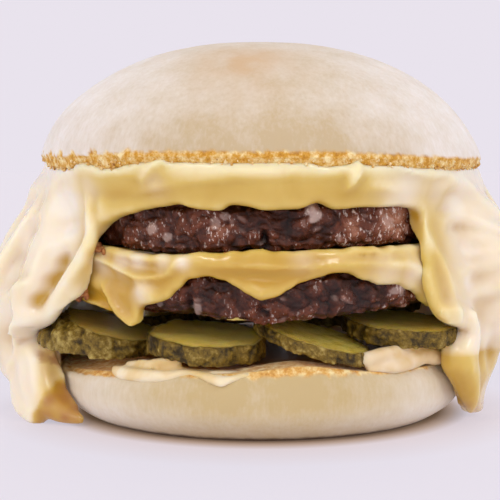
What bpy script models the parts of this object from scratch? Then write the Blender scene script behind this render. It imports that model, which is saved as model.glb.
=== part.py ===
"""Double cheeseburger: two bun halves, two patties, two layers of melted cheese,
sliced pickles and a thin spread of sauce, each one closed solid.

Heights run up from the flat underside of the lower bun. Angles are in degrees
round the stack, 0 at the front (-Y), 90 at the right (+X). Lengths in the tables
are millimetres, and every mesh is built in metres.
"""
import math

import bmesh
import bpy
from mathutils import Vector

MM = 0.001

# Gap kept between neighbouring pieces.
GAP = 0.4

# Lower bun: widest a little above its middle, drawn in to its rim and to its foot.
BUN_BOTTOM_RADIUS = 53.0
BUN_BOTTOM_HEIGHT = 15.1
BUN_FULLEST_HEIGHT = 8.5
BUN_RIM_INSET = 4.2
BUN_RIM_POWER = 2.6
BUN_FOOT_RADIUS = 45.0
BUN_FOOT_POWER = 2.2
BUN_BOTTOM_LEVELS = (BUN_BOTTOM_HEIGHT, 14.6, 13.4, 11.4, BUN_FULLEST_HEIGHT, 5.6, 3.2, 1.2, 0.0)

# Upper bun: the cut face leans down to the right, the edge of its skin less so.
BUN_TOP_RADIUS = 57.5
BUN_CROWN_HEIGHT = 96.0
BUN_CUT_HEIGHT = 65.0
BUN_CUT_LEAN = 0.020
BUN_SKIN_HEIGHT = 66.0
BUN_SKIN_LEAN = 0.007
CROWN_SIDE_POWER = 1.78
CROWN_TOP_POWER = 0.455
CROWN_SHARES = (0.975, 0.92, 0.83, 0.71, 0.57, 0.42, 0.27, 0.12, 0.0)
CUT_EDGE_INSET = 0.7
CUT_EDGE_LIFT = 0.35
CUT_FACE_INSET = 2.2

# Patties.
PATTY_RADIUS = 49.6
PATTY_ROUGHNESS = 0.7
LOWER_PATTY_BOTTOM = 28.7
LOWER_PATTY_TOP = 39.9
UPPER_PATTY_BOTTOM = 44.6
UPPER_PATTY_TOP = 56.2
PATTY_EDGE_ROUND = 2.6
PATTY_TOP_INSET = 5.5
PATTY_BOTTOM_INSET = 10.0
# Rings of the wall: (share of the wall's height, inset).
PATTY_WALL = ((0.93, 2.2), (0.78, 0.5), (0.55, 0.0), (0.32, 0.1), (0.12, 0.8))
# Unevenness: (waves round the stack, turn for each mm of height, share).
LUMP_WAVES = ((5, 0.11, 0.35), (11, 0.31, 0.35), (19, 0.47, 0.30))
LUMP_PHASE = 1.7

# Height of each patty's lower edge round the stack.
LOWER_PATTY_EDGE = (
    (-180, 29.0), (-130, 30.2), (-85, 29.6), (-35, 30.5), (-19, 30.2), (-10, 28.4), (0, 27.9),
    (15, 28.7), (33, 29.8), (50, 30.9), (95, 29.4), (140, 30.4),
)
UPPER_PATTY_EDGE = (
    (-180, 44.6), (-120, 45.3), (-50, 45.1), (-27, 43.8), (0, 44.8), (30, 45.4), (45, 45.7),
    (110, 44.4), (150, 45.3),
)

# Cheese between the patties: a lip that hangs clear of the lower patty's wall.
CHEESE_RADIUS = 52.7
CHEESE_CLEARANCE = 1.3
CHEESE_COVER_INSET = 5.0
CHEESE_SEAT_INSET = 2.0
CHEESE_SEAT_DROP = 0.9
CHEESE_ROOT_RADIUS = PATTY_RADIUS + 1.1
CHEESE_SHOULDER_DROP = 2.2
# Rings over the shoulder: (radius, drop below the upper patty's edge).
CHEESE_SHOULDER = ((PATTY_RADIUS + 0.6, 0.3), (CHEESE_RADIUS - 0.6, 1.0))
# Rings of the lip: (radius, share of its height).
CHEESE_LIP_RINGS = (
    (CHEESE_RADIUS, 0.66), (CHEESE_RADIUS, 0.2), (CHEESE_RADIUS - 0.7, 0.0),
    (PATTY_RADIUS + CHEESE_CLEARANCE, 0.12),
)
# Height of its lower edge.
LOWER_CHEESE_LIP = (
    (-180, 34.5), (-165, 38.4), (-148, 33.0), (-128, 38.6), (-105, 36.0), (-68, 33.5),
    (-57, 30.7), (-51, 30.0), (-44, 28.8), (-39, 27.4), (-35.5, 27.0), (-31.5, 31.8), (-25, 34.0),
    (-21, 37.7), (-16, 38.7), (-10, 38.0), (-0.5, 33.5), (8, 37.2), (15, 39.1), (23, 38.9),
    (31, 36.6), (41, 35.2), (47.4, 32.0), (52.4, 27.2), (57, 26.2), (64, 29.0), (74, 34.0),
    (85, 37.5), (110, 34.5), (130, 38.6), (152, 36.8),
)

# Cheese under the top bun: height of its lower edge. The front hangs just over
# the patty, and both sides run down past the lower bun.
UPPER_CHEESE_LIP = (
    (-180, 50.0), (-150, 51.0), (-141, 47.0), (-134, 30.0), (-127, 14.0), (-118, 6.0), (-112, 3.5),
    (-97, 3.0), (-86, 9.5), (-79, 0.3), (-67, 0.3), (-62.5, 22.0), (-58, 26.5), (-54.8, 28.5),
    (-52.4, 32.0), (-50, 37.0), (-48.3, 43.0), (-47.2, 46.8), (-44.8, 50.0), (-42.6, 50.9),
    (-39.5, 51.9), (-36, 52.8), (-31, 54.0), (-27, 54.8), (-21, 55.5), (-17.4, 54.3), (-15, 54.0),
    (-10.5, 54.0), (-8, 55.3), (-4.5, 54.9), (1, 54.2), (9, 54.4), (13.2, 55.8), (17.8, 54.3),
    (24.5, 54.6), (36, 54.4), (42, 54.0), (44, 52.5), (45.3, 48.0), (47.5, 44.5), (50.5, 41.5),
    (52.2, 36.0), (53.2, 30.0), (53.8, 25.0), (54.4, 19.0), (56.5, 12.0), (61, 6.0), (66, 3.0),
    (72, 0.3), (84, 0.3), (89, 8.5), (96, 6.0), (106, 5.0), (117, 7.0), (127, 14.0), (134, 30.0),
    (141, 46.0), (150, 50.0), (166, 48.0),
)

# Drips down the back: (angle, half width in degrees, height of the tip).
DRIP_POWER = 1.9
BACK_DRIPS = (
    (-171, 10, 35.0), (-150, 16, 8.5), (140, 9, 38.0), (160, 14, 9.5), (177, 8, 41.0),
)

# Outer radius of the cheese at some heights: over the front and back, and at the
# widest angle of each side. The sides take over between the angles below.
SIDE_START = (38.0, 78.0)
SIDE_END = (104.0, 138.0)
FRONT_SWELL = ((0, 57.5), (14, 58.0), (30, 56.4), (50, 54.6), (56, 54.6), (60, 55.6), (64, 55.9))
LEFT_SWELL = (
    (0, 63.5), (6, 64.5), (12, 68.0), (24, 71.0), (32, 70.5), (43, 66.0), (50, 62.5),
    (57, 60.5), (64, 56.6),
)
RIGHT_SWELL = (
    (0, 57.5), (5, 59.0), (16, 62.0), (24, 66.0), (36, 69.0), (46, 66.5), (52, 62.5),
    (58, 58.5), (64, 56.6),
)
FLOOR_SPREAD = 2.0
FLOOR_SPREAD_HEIGHT = 4.0
CURTAIN_THINNEST = 1.8

# Inner face of the curtains: heights over which it moves out past the lower layers.
PAST_CHEESE = (55.5, 49.5)
PAST_PICKLES = (34.0, 29.5)
PAST_BUN = (14.0, 9.0)
CURTAIN_CLEARANCE = 0.6

# Rings of the cheese: how far its rounded shoulder and hem stand in, and their steps.
COVER_INSET = 1.6
SHOULDER_DROP = 0.9
HEM_LIFT = 1.1
# Rings of the hem: (share of the way from the inner to the outer face, lift).
HEM_RINGS = ((0.78, 0.25), (0.3, 0.0))
INNER_LIFT = 0.7
SEAT_INSET = 1.5
OUTER_STEPS = 9
INNER_STEPS = 6

# Folds down the side curtains: (angle, half width in degrees, depth, and how far the
# fold leans in degrees for each mm of height).
CURTAIN_FOLD_MIDDLE = 35.0
FOLD_FADE = (62.0, 48.0)
CURTAIN_FOLDS = (
    (-114, 5, 1.8, 0.0), (-106, 4, -2.4, 0.0), (-97, 6, 2.0, 0.05), (-87, 4, -3.0, 0.05),
    (-77, 6, 1.8, 0.1), (-67, 4, -2.6, 0.2), (-59, 4, 2.2, 0.25),
    (52, 4, 1.4, -0.3), (61, 4, -1.8, -0.2), (71, 6, 2.0, -0.1), (83, 4, -2.8, 0.0),
    (93, 6, 2.2, 0.0), (103, 4, -2.4, 0.0), (112, 5, 1.8, 0.0),
)

# Sauce on the lower bun: outer radius, and height above the plain spread.
SAUCE_BOTTOM = BUN_BOTTOM_HEIGHT + GAP
SAUCE_TOP = 16.5
SAUCE_FOOT_INSET = 1.2
SAUCE_FOOT_RADIUS = BUN_BOTTOM_RADIUS - 3.6
# Rings of the top: (inset, drop). Rings of the hem: (inset, lift).
SAUCE_TOP_RINGS = ((3.0, 0.0), (0.5, 0.2))
SAUCE_HEM_RINGS = ((0.0, 0.35), (0.5, 0.0))
SAUCE_DROOP_SHARE = 0.6
SAUCE_REACH = (
    (-180, 50.8), (-150, 48.0), (-120, 50.2), (-60, 47.5), (-46, 48.2), (-39, 51.6), (-20, 51.4),
    (-16, 50.2), (-9.5, 52.5), (-3, 49.6), (4, 48.0), (24, 47.6), (33, 50.2), (52, 50.4),
    (62, 48.5), (100, 50.6), (140, 48.4),
)
SAUCE_DROOP = (
    (-180, 0.5), (-150, 0.0), (-46, 0.0), (-37, 1.0), (-20, 0.8), (-16, 0.2), (-9.5, 1.5),
    (-3, 0.1), (28, 0.0), (38, 0.3), (60, 0.0), (100, 0.5), (140, 0.0),
)

# Pickle slices, one ring of eight on the sauce and three more on those at the back:
# (x, y, radius, thickness, height of the underside's middle, rise per mm towards +X,
# rise per mm towards +Y, loss of thickness per mm towards +X).
PICKLES = (
    (-38.7, -19.7, 14.5, 5.6, 18.3, -0.07, 0.060, 0.15),
    (-13.4, -34.2, 13.4, 4.4, 19.4, -0.06, 0.120, 0.0),
    (12.4, -35.4, 13.2, 3.0, 20.8, -0.27, 0.080, 0.0),
    (34.8, -24.2, 14.0, 4.0, 21.7, -0.07, 0.060, 0.0),
    (37.0, 10.0, 13.6, 4.4, 18.2, -0.058, -0.016, 0.0),
    (21.5, 33.6, 13.4, 4.5, 18.1, -0.032, -0.050, 0.0),
    (-8.0, 35.8, 13.6, 4.4, 18.2, 0.013, -0.058, 0.0),
    (-34.0, 17.4, 14.2, 4.5, 18.2, 0.053, -0.027, 0.0),
    (31.0, 18.5, 13.4, 4.0, 24.0, -0.010, 0.010, 0.0),
    (6.0, 33.0, 13.4, 4.2, 23.9, 0.010, -0.015, 0.0),
    (-24.5, 25.0, 13.6, 4.1, 24.0, 0.010, 0.000, 0.0),
)
PICKLE_WAVINESS = 0.25
PICKLE_BULGE = 0.35
PICKLE_WAVES = 7
PICKLE_EDGE_INSET = 0.3
# Rings of the rind: (share of the thickness, reach past the radius).
PICKLE_RIND = (
    (1.0, -PICKLE_EDGE_INSET), (0.78, PICKLE_BULGE), (0.22, PICKLE_BULGE), (0.0, -PICKLE_EDGE_INSET),
)

# Facets.
BUN_SEGMENTS = 64
PATTY_SEGMENTS = 76
CHEESE_SEGMENTS = 96
PICKLE_SEGMENTS = 20
EDGE_STEP = 2.5
EDGE_START = 36.0
EDGE_END = 80.0
BACK_STEP = 3.0
BACK_START = 118.0
PLAIN_STEP = 3.8


def ease(start, end, value):
    """Return a smooth rise from 0 at start to 1 at end."""
    t = min(1.0, max(0.0, (value - start) / (end - start)))
    return t * t * (3.0 - 2.0 * t)


def along(knots, value):
    """Read a table of (position, amount) with eased runs between its knots."""
    if value <= knots[0][0]:
        return knots[0][1]
    for (x0, y0), (x1, y1) in zip(knots, knots[1:]):
        if value <= x1:
            return y0 + (y1 - y0) * ease(x0, x1, value)
    return knots[-1][1]


def around(knots, angle):
    """Read a table of (angle, amount) that closes on itself round the stack."""
    angle = (angle + 180.0) % 360.0 - 180.0
    return along(knots + ((knots[0][0] + 360, knots[0][1]),), angle)


def lumps(angle, height, seed):
    """Return an even, repeatable unevenness between about -1 and 1."""
    turn = math.radians(angle)
    total = 0.0
    for k, (waves, rise, share) in enumerate(LUMP_WAVES):
        total += share * math.sin(waves * turn + rise * height + seed * (k + LUMP_PHASE))
    return total


def point(angle, radius, height):
    """Return a point of the stack in metres."""
    turn = math.radians(angle)
    return Vector((radius * math.sin(turn), -radius * math.cos(turn), height)) * MM


def even_angles(count):
    """Return evenly spaced angles round the stack."""
    return [-180.0 + 360.0 * k / count for k in range(count)]


def curtain_angles():
    """Return angles that lie closer together where the curtains and drips are steep."""
    angles = []
    angle = -180.0
    while angle < 180.0 - 0.5 * BACK_STEP:
        angles.append(angle)
        if EDGE_START <= abs(angle) < EDGE_END:
            angle += EDGE_STEP
        elif abs(angle) > BACK_START:
            angle += BACK_STEP
        else:
            angle += PLAIN_STEP
    return angles


def material(name, colour, roughness):
    """Return a plain Principled material."""
    finish = bpy.data.materials.new(name)
    finish.use_nodes = True
    shader = finish.node_tree.nodes["Principled BSDF"]
    shader.inputs["Base Color"].default_value = (*colour, 1.0)
    shader.inputs["Roughness"].default_value = roughness
    shader.inputs["Metallic"].default_value = 0.0
    return finish


def add_object(name, form, finish):
    """Put a finished bmesh into the scene as one smooth-shaded object."""
    bmesh.ops.triangulate(form, faces=form.faces)
    bmesh.ops.recalc_face_normals(form, faces=form.faces)
    mesh = bpy.data.meshes.new(name)
    form.to_mesh(mesh)
    form.free()
    mesh.materials.append(finish)
    mesh.shade_smooth()
    piece = bpy.data.objects.new(name, mesh)
    bpy.context.scene.collection.objects.link(piece)
    return piece


def turned_solid(name, angles, rings, top_middle, bottom_middle, finish):
    """Build a closed solid from rings of points, from its top middle to its bottom middle.

    Each ring is a function of the angle that gives a radius and a height.
    """
    form = bmesh.new()
    top = form.verts.new(Vector((0.0, 0.0, top_middle)) * MM)
    bottom = form.verts.new(Vector((0.0, 0.0, bottom_middle)) * MM)
    loops = []
    for ring in rings:
        loops.append([form.verts.new(point(angle, *ring(angle))) for angle in angles])
    count = len(angles)
    for k in range(count):
        after = (k + 1) % count
        form.faces.new((top, loops[0][k], loops[0][after]))
        form.faces.new((bottom, loops[-1][after], loops[-1][k]))
        for upper, lower in zip(loops, loops[1:]):
            form.faces.new((upper[k], lower[k], lower[after], upper[after]))
    return add_object(name, form, finish)


def bun_bottom_radius(height):
    """Return the lower bun's radius at a height: a rounded wall, fullest below its middle."""
    above = height - BUN_FULLEST_HEIGHT
    if above >= 0.0:
        share = (above / (BUN_BOTTOM_HEIGHT - BUN_FULLEST_HEIGHT)) ** BUN_RIM_POWER
        return BUN_BOTTOM_RADIUS - BUN_RIM_INSET * share
    share = (-above / BUN_FULLEST_HEIGHT) ** BUN_FOOT_POWER
    return BUN_BOTTOM_RADIUS - (BUN_BOTTOM_RADIUS - BUN_FOOT_RADIUS) * share


def build_bun_bottom():
    """Build the lower bun, flat above and below, with a full rounded wall."""
    def wall(height):
        return lambda angle: (bun_bottom_radius(height), height)

    finish = material("soft bun crust, pale", (0.71, 0.57, 0.43), 0.62)
    rings = [wall(height) for height in BUN_BOTTOM_LEVELS]
    return turned_solid("bun_bottom", even_angles(BUN_SEGMENTS), rings, BUN_BOTTOM_HEIGHT, 0.0, finish)


def bun_cut_height(x):
    """Return the height of the upper bun's cut face above a place across the stack."""
    return BUN_CUT_HEIGHT - BUN_CUT_LEAN * x


def build_bun_top():
    """Build the upper bun: a dome on a cut face that leans down to the right."""
    def across(radius, angle):
        return radius * math.sin(math.radians(angle))

    def cut(radius, lift):
        return lambda angle: (radius, bun_cut_height(across(radius, angle)) + lift)

    def crown(share):
        radius = BUN_TOP_RADIUS * (1.0 - share ** CROWN_SIDE_POWER) ** CROWN_TOP_POWER

        def ring(angle):
            skin = BUN_SKIN_HEIGHT - BUN_SKIN_LEAN * across(radius, angle)
            return radius, skin + share * (BUN_CROWN_HEIGHT - skin)
        return ring

    rings = [crown(share) for share in CROWN_SHARES]
    rings.append(cut(BUN_TOP_RADIUS - CUT_EDGE_INSET, CUT_EDGE_LIFT))
    rings.append(cut(BUN_TOP_RADIUS - CUT_FACE_INSET, 0.0))
    finish = material("soft bun crust, floured", (0.78, 0.68, 0.58), 0.62)
    return turned_solid("bun_top", even_angles(BUN_SEGMENTS), rings, BUN_CROWN_HEIGHT,
                        BUN_CUT_HEIGHT, finish)


def build_patty(name, bottom, top, edge_table, seed):
    """Build a patty with a rough, rounded wall and a lower edge of uneven height."""
    def rough(height, inset):
        def ring(angle):
            low = around(edge_table, angle)
            level = low + (top - low) * height
            return PATTY_RADIUS - inset + PATTY_ROUGHNESS * lumps(angle, level, seed), level
        return ring

    def lower_edge(angle):
        return PATTY_RADIUS - PATTY_EDGE_ROUND, around(edge_table, angle)

    rings = [lambda angle: (PATTY_RADIUS - PATTY_TOP_INSET, top)]
    rings += [rough(share, inset) for share, inset in PATTY_WALL]
    rings += [lower_edge, lambda angle: (PATTY_RADIUS - PATTY_BOTTOM_INSET, bottom)]
    finish = material(name.replace("_", " ") + " seared beef", (0.10, 0.045, 0.032), 0.42)
    return turned_solid(name, even_angles(PATTY_SEGMENTS), rings, top, bottom, finish)


def build_cheese_lower():
    """Build the cheese between the patties, with a lip that hangs in drips."""
    seat = LOWER_PATTY_TOP + GAP
    cover = UPPER_PATTY_BOTTOM - GAP

    def under_patty(radius, drop):
        return lambda angle: (radius, around(UPPER_PATTY_EDGE, angle) - GAP - drop)

    def middle(angle):
        return PATTY_RADIUS - CHEESE_COVER_INSET, min(cover, around(UPPER_PATTY_EDGE, angle) - GAP)

    def lip(radius, share):
        def ring(angle):
            low = around(LOWER_CHEESE_LIP, angle)
            high = around(UPPER_PATTY_EDGE, angle) - CHEESE_SHOULDER_DROP
            return radius, low + (high - low) * share
        return ring

    rings = [middle]
    rings += [under_patty(radius, drop) for radius, drop in CHEESE_SHOULDER]
    rings += [lip(radius, share) for radius, share in CHEESE_LIP_RINGS]
    rings.append(lambda angle: (CHEESE_ROOT_RADIUS, seat - CHEESE_SEAT_DROP))
    rings.append(lambda angle: (PATTY_RADIUS - CHEESE_SEAT_INSET, seat))
    finish = material("processed cheese, molten, between", (0.68, 0.44, 0.17), 0.35)
    return turned_solid("cheese_lower", even_angles(CHEESE_SEGMENTS), rings, cover, seat, finish)


def pickle_reach(angle):
    """Return how far out the pickle slices reach at an angle, 0 where there are none."""
    turn = math.radians(angle)
    direction = (math.sin(turn), -math.cos(turn))
    reach = 0.0
    for x, y, radius, *_ in PICKLES:
        radius += PICKLE_BULGE + PICKLE_WAVINESS
        onward = x * direction[0] + y * direction[1]
        aside = x * direction[1] - y * direction[0]
        if onward > 0.0 and abs(aside) < radius:
            reach = max(reach, onward + math.sqrt(radius * radius - aside * aside))
    return reach


def cheese_inner_radius(angle, height):
    """Return the radius of the cheese curtain's inner face, clear of all it passes."""
    beside_patty = PATTY_RADIUS + CHEESE_CLEARANCE
    beside_lip = CHEESE_RADIUS + CURTAIN_CLEARANCE
    beside_bun = BUN_BOTTOM_RADIUS + CURTAIN_CLEARANCE
    beside_pickles = max(beside_bun, pickle_reach(angle) + CURTAIN_CLEARANCE)
    radius = beside_patty + (beside_lip - beside_patty) * ease(*PAST_CHEESE, height)
    radius += (beside_pickles - radius) * ease(*PAST_PICKLES, height)
    return radius + (beside_bun - radius) * ease(*PAST_BUN, height)


def cheese_outer_radius(angle, height):
    """Return the radius of the cheese's outer face, with the curtains' folds."""
    side_table = RIGHT_SWELL if angle > 0 else LEFT_SWELL
    away = abs(angle)
    side_share = ease(*SIDE_START, away) * (1.0 - ease(*SIDE_END, away))
    radius = along(FRONT_SWELL, height)
    radius += (along(side_table, height) - radius) * side_share
    depth = ease(*FOLD_FADE, height)
    for middle, half_width, amount, lean in CURTAIN_FOLDS:
        offset = (angle - middle - lean * (height - CURTAIN_FOLD_MIDDLE)) / half_width
        radius += amount * depth * math.exp(-offset * offset)
    radius += FLOOR_SPREAD * side_share * ease(FLOOR_SPREAD_HEIGHT, 0.0, height)
    return max(radius, cheese_inner_radius(angle, height) + CURTAIN_THINNEST)


def upper_cheese_low(angle):
    """Return the height of the upper cheese's lower edge, with the drips at the back."""
    height = around(UPPER_CHEESE_LIP, angle)
    for middle, half_width, tip in BACK_DRIPS:
        offset = abs((angle - middle + 180.0) % 360.0 - 180.0) / half_width
        if offset < 1.0:
            height = min(height, tip + (height - tip) * ease(0.0, 1.0, offset) ** DRIP_POWER)
    return height


def build_cheese_upper():
    """Build the cheese under the top bun, with its curtains down both sides."""
    seat = UPPER_PATTY_TOP + GAP

    def high(angle):
        x = BUN_TOP_RADIUS * math.sin(math.radians(angle))
        return bun_cut_height(x) - GAP

    def cover(angle):
        radius = cheese_outer_radius(angle, BUN_CUT_HEIGHT) - COVER_INSET
        return radius, bun_cut_height(radius * math.sin(math.radians(angle))) - GAP

    def outer(share):
        def ring(angle):
            top = high(angle) - SHOULDER_DROP
            height = top + (upper_cheese_low(angle) + HEM_LIFT - top) * share
            return cheese_outer_radius(angle, height), height
        return ring

    def hem(share, lift):
        def ring(angle):
            height = upper_cheese_low(angle) + lift
            inside = cheese_inner_radius(angle, height)
            outside = cheese_outer_radius(angle, height)
            return inside + (outside - inside) * share, height
        return ring

    def inner(share):
        def ring(angle):
            start = upper_cheese_low(angle) + INNER_LIFT
            height = start + (seat - INNER_LIFT - start) * share
            return cheese_inner_radius(angle, height), height
        return ring

    rings = [cover]
    rings += [outer(k / OUTER_STEPS) for k in range(OUTER_STEPS + 1)]
    rings += [hem(share, lift) for share, lift in HEM_RINGS]
    rings += [inner(k / INNER_STEPS) for k in range(INNER_STEPS + 1)]
    rings.append(lambda angle: (PATTY_RADIUS - SEAT_INSET, seat))
    finish = material("processed cheese, molten, over", (0.74, 0.52, 0.24), 0.35)
    return turned_solid("cheese_upper", curtain_angles(), rings, BUN_CUT_HEIGHT - GAP, seat, finish)


def build_sauce():
    """Build the thin sauce on the lower bun, drooping over its edge in places."""
    def top_edge(inset, drop):
        def ring(angle):
            droop = around(SAUCE_DROOP, angle)
            return around(SAUCE_REACH, angle) - inset, SAUCE_TOP - drop - SAUCE_DROOP_SHARE * droop
        return ring

    def hem(inset, lift):
        def ring(angle):
            droop = around(SAUCE_DROOP, angle)
            return around(SAUCE_REACH, angle) - inset, SAUCE_BOTTOM + lift - droop
        return ring

    def foot(angle):
        return min(around(SAUCE_REACH, angle) - SAUCE_FOOT_INSET, SAUCE_FOOT_RADIUS), SAUCE_BOTTOM

    rings = [top_edge(inset, drop) for inset, drop in SAUCE_TOP_RINGS]
    rings += [hem(inset, lift) for inset, lift in SAUCE_HEM_RINGS]
    rings.append(foot)
    finish = material("creamy sauce", (0.78, 0.62, 0.37), 0.35)
    return turned_solid("sauce_base", even_angles(BUN_SEGMENTS), rings, SAUCE_TOP, SAUCE_BOTTOM, finish)


def build_pickle(index, x, y, radius, thickness, bottom, rise_x, rise_y, taper):
    """Build one pickle slice: a tilted disc with a bulging, wavy rind."""
    form = bmesh.new()

    def place(across, along_y, share):
        under = bottom + rise_x * across + rise_y * along_y
        height = under + share * (thickness - taper * across)
        return form.verts.new(Vector((x + across, y + along_y, height)) * MM)

    top = place(0.0, 0.0, 1.0)
    under = place(0.0, 0.0, 0.0)
    loops = []
    for share, bulge in PICKLE_RIND:
        loop = []
        for k in range(PICKLE_SEGMENTS):
            turn = 2.0 * math.pi * k / PICKLE_SEGMENTS
            reach = radius + bulge + PICKLE_WAVINESS * math.sin(PICKLE_WAVES * turn + index)
            loop.append(place(reach * math.cos(turn), reach * math.sin(turn), share))
        loops.append(loop)
    for k in range(PICKLE_SEGMENTS):
        after = (k + 1) % PICKLE_SEGMENTS
        form.faces.new((top, loops[0][k], loops[0][after]))
        form.faces.new((under, loops[-1][after], loops[-1][k]))
        for upper, lower in zip(loops, loops[1:]):
            form.faces.new((upper[k], lower[k], lower[after], upper[after]))
    finish = material(f"pickled cucumber slice {index}", (0.30, 0.24, 0.05), 0.3)
    return add_object(f"pickle_{index}", form, finish)


def clear_scene():
    """Remove every object of the opened scene."""
    for old in list(bpy.data.objects):
        bpy.data.objects.remove(old, do_unlink=True)


def main():
    """Build the burger from the table up."""
    clear_scene()
    build_bun_bottom()
    build_sauce()
    for index, slice_sizes in enumerate(PICKLES, start=1):
        build_pickle(index, *slice_sizes)
    build_patty("patty_lower", LOWER_PATTY_BOTTOM, LOWER_PATTY_TOP, LOWER_PATTY_EDGE, 0.9)
    build_cheese_lower()
    build_patty("patty_upper", UPPER_PATTY_BOTTOM, UPPER_PATTY_TOP, UPPER_PATTY_EDGE, 2.6)
    build_cheese_upper()
    build_bun_top()


main()
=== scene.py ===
"""Dressed double cheeseburger: floured bun, seared beef, molten cheese, pickle slices, sauce.

Heights run up from the flat underside of the lower bun. Angles are in degrees round the
stack, 0 at the front (-Y) and 90 at the right (+X). Sizes are in millimetres until a mesh
is written, which is in metres.
"""

import logging
import math
from dataclasses import dataclass
from enum import Enum
from itertools import product
from typing import Any, Callable, NamedTuple

import bpy
import numpy as np
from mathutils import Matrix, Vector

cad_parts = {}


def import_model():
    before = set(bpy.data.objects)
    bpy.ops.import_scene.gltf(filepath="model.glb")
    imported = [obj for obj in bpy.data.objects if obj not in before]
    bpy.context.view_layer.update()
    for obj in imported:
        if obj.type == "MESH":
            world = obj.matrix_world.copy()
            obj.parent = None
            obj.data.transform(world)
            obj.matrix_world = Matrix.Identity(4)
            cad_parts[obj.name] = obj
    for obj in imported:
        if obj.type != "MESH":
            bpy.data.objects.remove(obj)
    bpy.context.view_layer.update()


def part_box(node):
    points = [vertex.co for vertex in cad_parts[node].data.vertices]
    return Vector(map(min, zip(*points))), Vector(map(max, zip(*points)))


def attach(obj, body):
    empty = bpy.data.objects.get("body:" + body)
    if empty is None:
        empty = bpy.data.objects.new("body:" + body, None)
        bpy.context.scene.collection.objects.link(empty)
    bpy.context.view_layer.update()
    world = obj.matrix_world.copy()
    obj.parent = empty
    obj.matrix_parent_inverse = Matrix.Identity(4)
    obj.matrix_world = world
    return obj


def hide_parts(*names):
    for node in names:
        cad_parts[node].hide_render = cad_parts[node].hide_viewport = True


MM = 0.001
BODY = "root"
# How far a layer lies above the one below it, in millimetres.
LAYER_GAP = 0.4

Array = np.ndarray
Knots = tuple[tuple[float, float], ...]
Triples = tuple[tuple[float, float, float], ...]
Quads = tuple[tuple[float, float, float, float], ...]
Stops = tuple[tuple[float, str], ...]
Faces = list[tuple[int, ...]]
Form = tuple[Array, Faces]
Add = Callable[..., Any]

# Large odd numbers that stir the bits of a cell's place, and the largest 32-bit number.
STIR = (374761393, 668265263, 1440662683)
STIR_AGAIN = 1274126177
WORD = 0xFFFFFFFF

log = logging.getLogger("burger")


class Slot(Enum):
    """The record's material slots."""

    BUN_TOP = "bun_top"
    BUN_BOTTOM = "bun_bottom"
    PATTY = "patty"
    CHEESE = "cheese"
    PICKLE = "pickle"
    SAUCE = "sauce"


class Side(Enum):
    """The two sides of the stack that the cheese runs down."""

    LEFT = -1
    RIGHT = 1


class Span(NamedTuple):
    """Lowest and highest corner of a node in millimetres."""

    low: Array
    high: Array

    @property
    def radius(self) -> float:
        """Half of the larger side across."""
        return float(max(self.high[:2] - self.low[:2])) / 2.0

    @property
    def top(self) -> float:
        """Height of the highest point."""
        return float(self.high[2])


def span(node: str) -> Span:
    """Return the corners of a node of the frame, in millimetres."""
    low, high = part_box(node)
    return Span(np.array(low) / MM, np.array(high) / MM)


def ease(start: float, end: float, value: Any) -> Any:
    """Return a smooth rise from 0 at start to 1 at end, which may lie below the start."""
    share = np.clip((value - start) / (end - start), 0.0, 1.0)
    return share * share * (3.0 - 2.0 * share)


def along(knots: Knots, value: Any) -> Array:
    """Read a table of (position, amount) with eased runs between its knots.

    Args:
        knots: The table, in rising order.
        value: Positions to read.

    Returns:
        The amounts there.
    """
    places, amounts = np.array(knots, float).T
    at = np.asarray(value, float)
    run = np.clip(np.searchsorted(places, at) - 1, 0, len(places) - 2)
    share = ease(0.0, 1.0, (at - places[run]) / (places[run + 1] - places[run]))
    return amounts[run] + (amounts[run + 1] - amounts[run]) * share


def around(knots: Knots, angle: Any) -> Array:
    """Read a table of (angle, amount) that closes on itself round the stack."""
    wrapped = (np.asarray(angle, float) + 180.0) % 360.0 - 180.0
    return along(knots + ((knots[0][0] + 360.0, knots[0][1]),), wrapped)


def turned_point(angle: Any, radius: Any, height: Any) -> Array:
    """Return points of the stack in millimetres.

    Args:
        angle: Angles in degrees.
        radius: Distances from the axis.
        height: Heights.

    Returns:
        An array of (x, y, z).
    """
    turn = np.radians(angle)
    parts = np.broadcast_arrays(radius * np.sin(turn), -radius * np.cos(turn), height)
    return np.stack(parts, axis=-1).astype(float)


def polar(points: Array) -> tuple[Array, Array]:
    """Return the angle of each point round the stack and its distance from the axis."""
    x, y = points[..., 0], points[..., 1]
    return np.degrees(np.arctan2(x, -y)), np.hypot(x, y)


def even_angles(count: int) -> Array:
    """Return evenly spaced angles round the stack, from -180 degrees."""
    return np.linspace(-180.0, 180.0, count, endpoint=False)


def bell(value: Array, middle: float, width: float, power: int = 2) -> Array:
    """Return a bump that is 1 at its middle and fades over its width."""
    return np.exp(-(((value - middle) / width) ** power))


def humps(rows: Triples, angle: Array) -> Array:
    """Add up bumps round the stack, each with a middle, a width and an amount."""
    return sum(amount * bell(angle, middle, width) for middle, width, amount in rows)


def chance(cells: Array, seed: int) -> Array:
    """Return a repeatable number from 0 to 1 for each whole-number cell.

    Args:
        cells: Array of (x, y, z) cells.
        seed: Number of the draw.

    Returns:
        One number for each cell.
    """
    x, y, z = (cells[..., axis].astype(np.int64) * STIR[axis] for axis in range(3))
    mixed = (x + y + z + seed * STIR_AGAIN) & WORD
    mixed = ((mixed ^ (mixed >> 13)) * STIR_AGAIN) & WORD
    return (mixed ^ (mixed >> 16)) / float(WORD)


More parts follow.
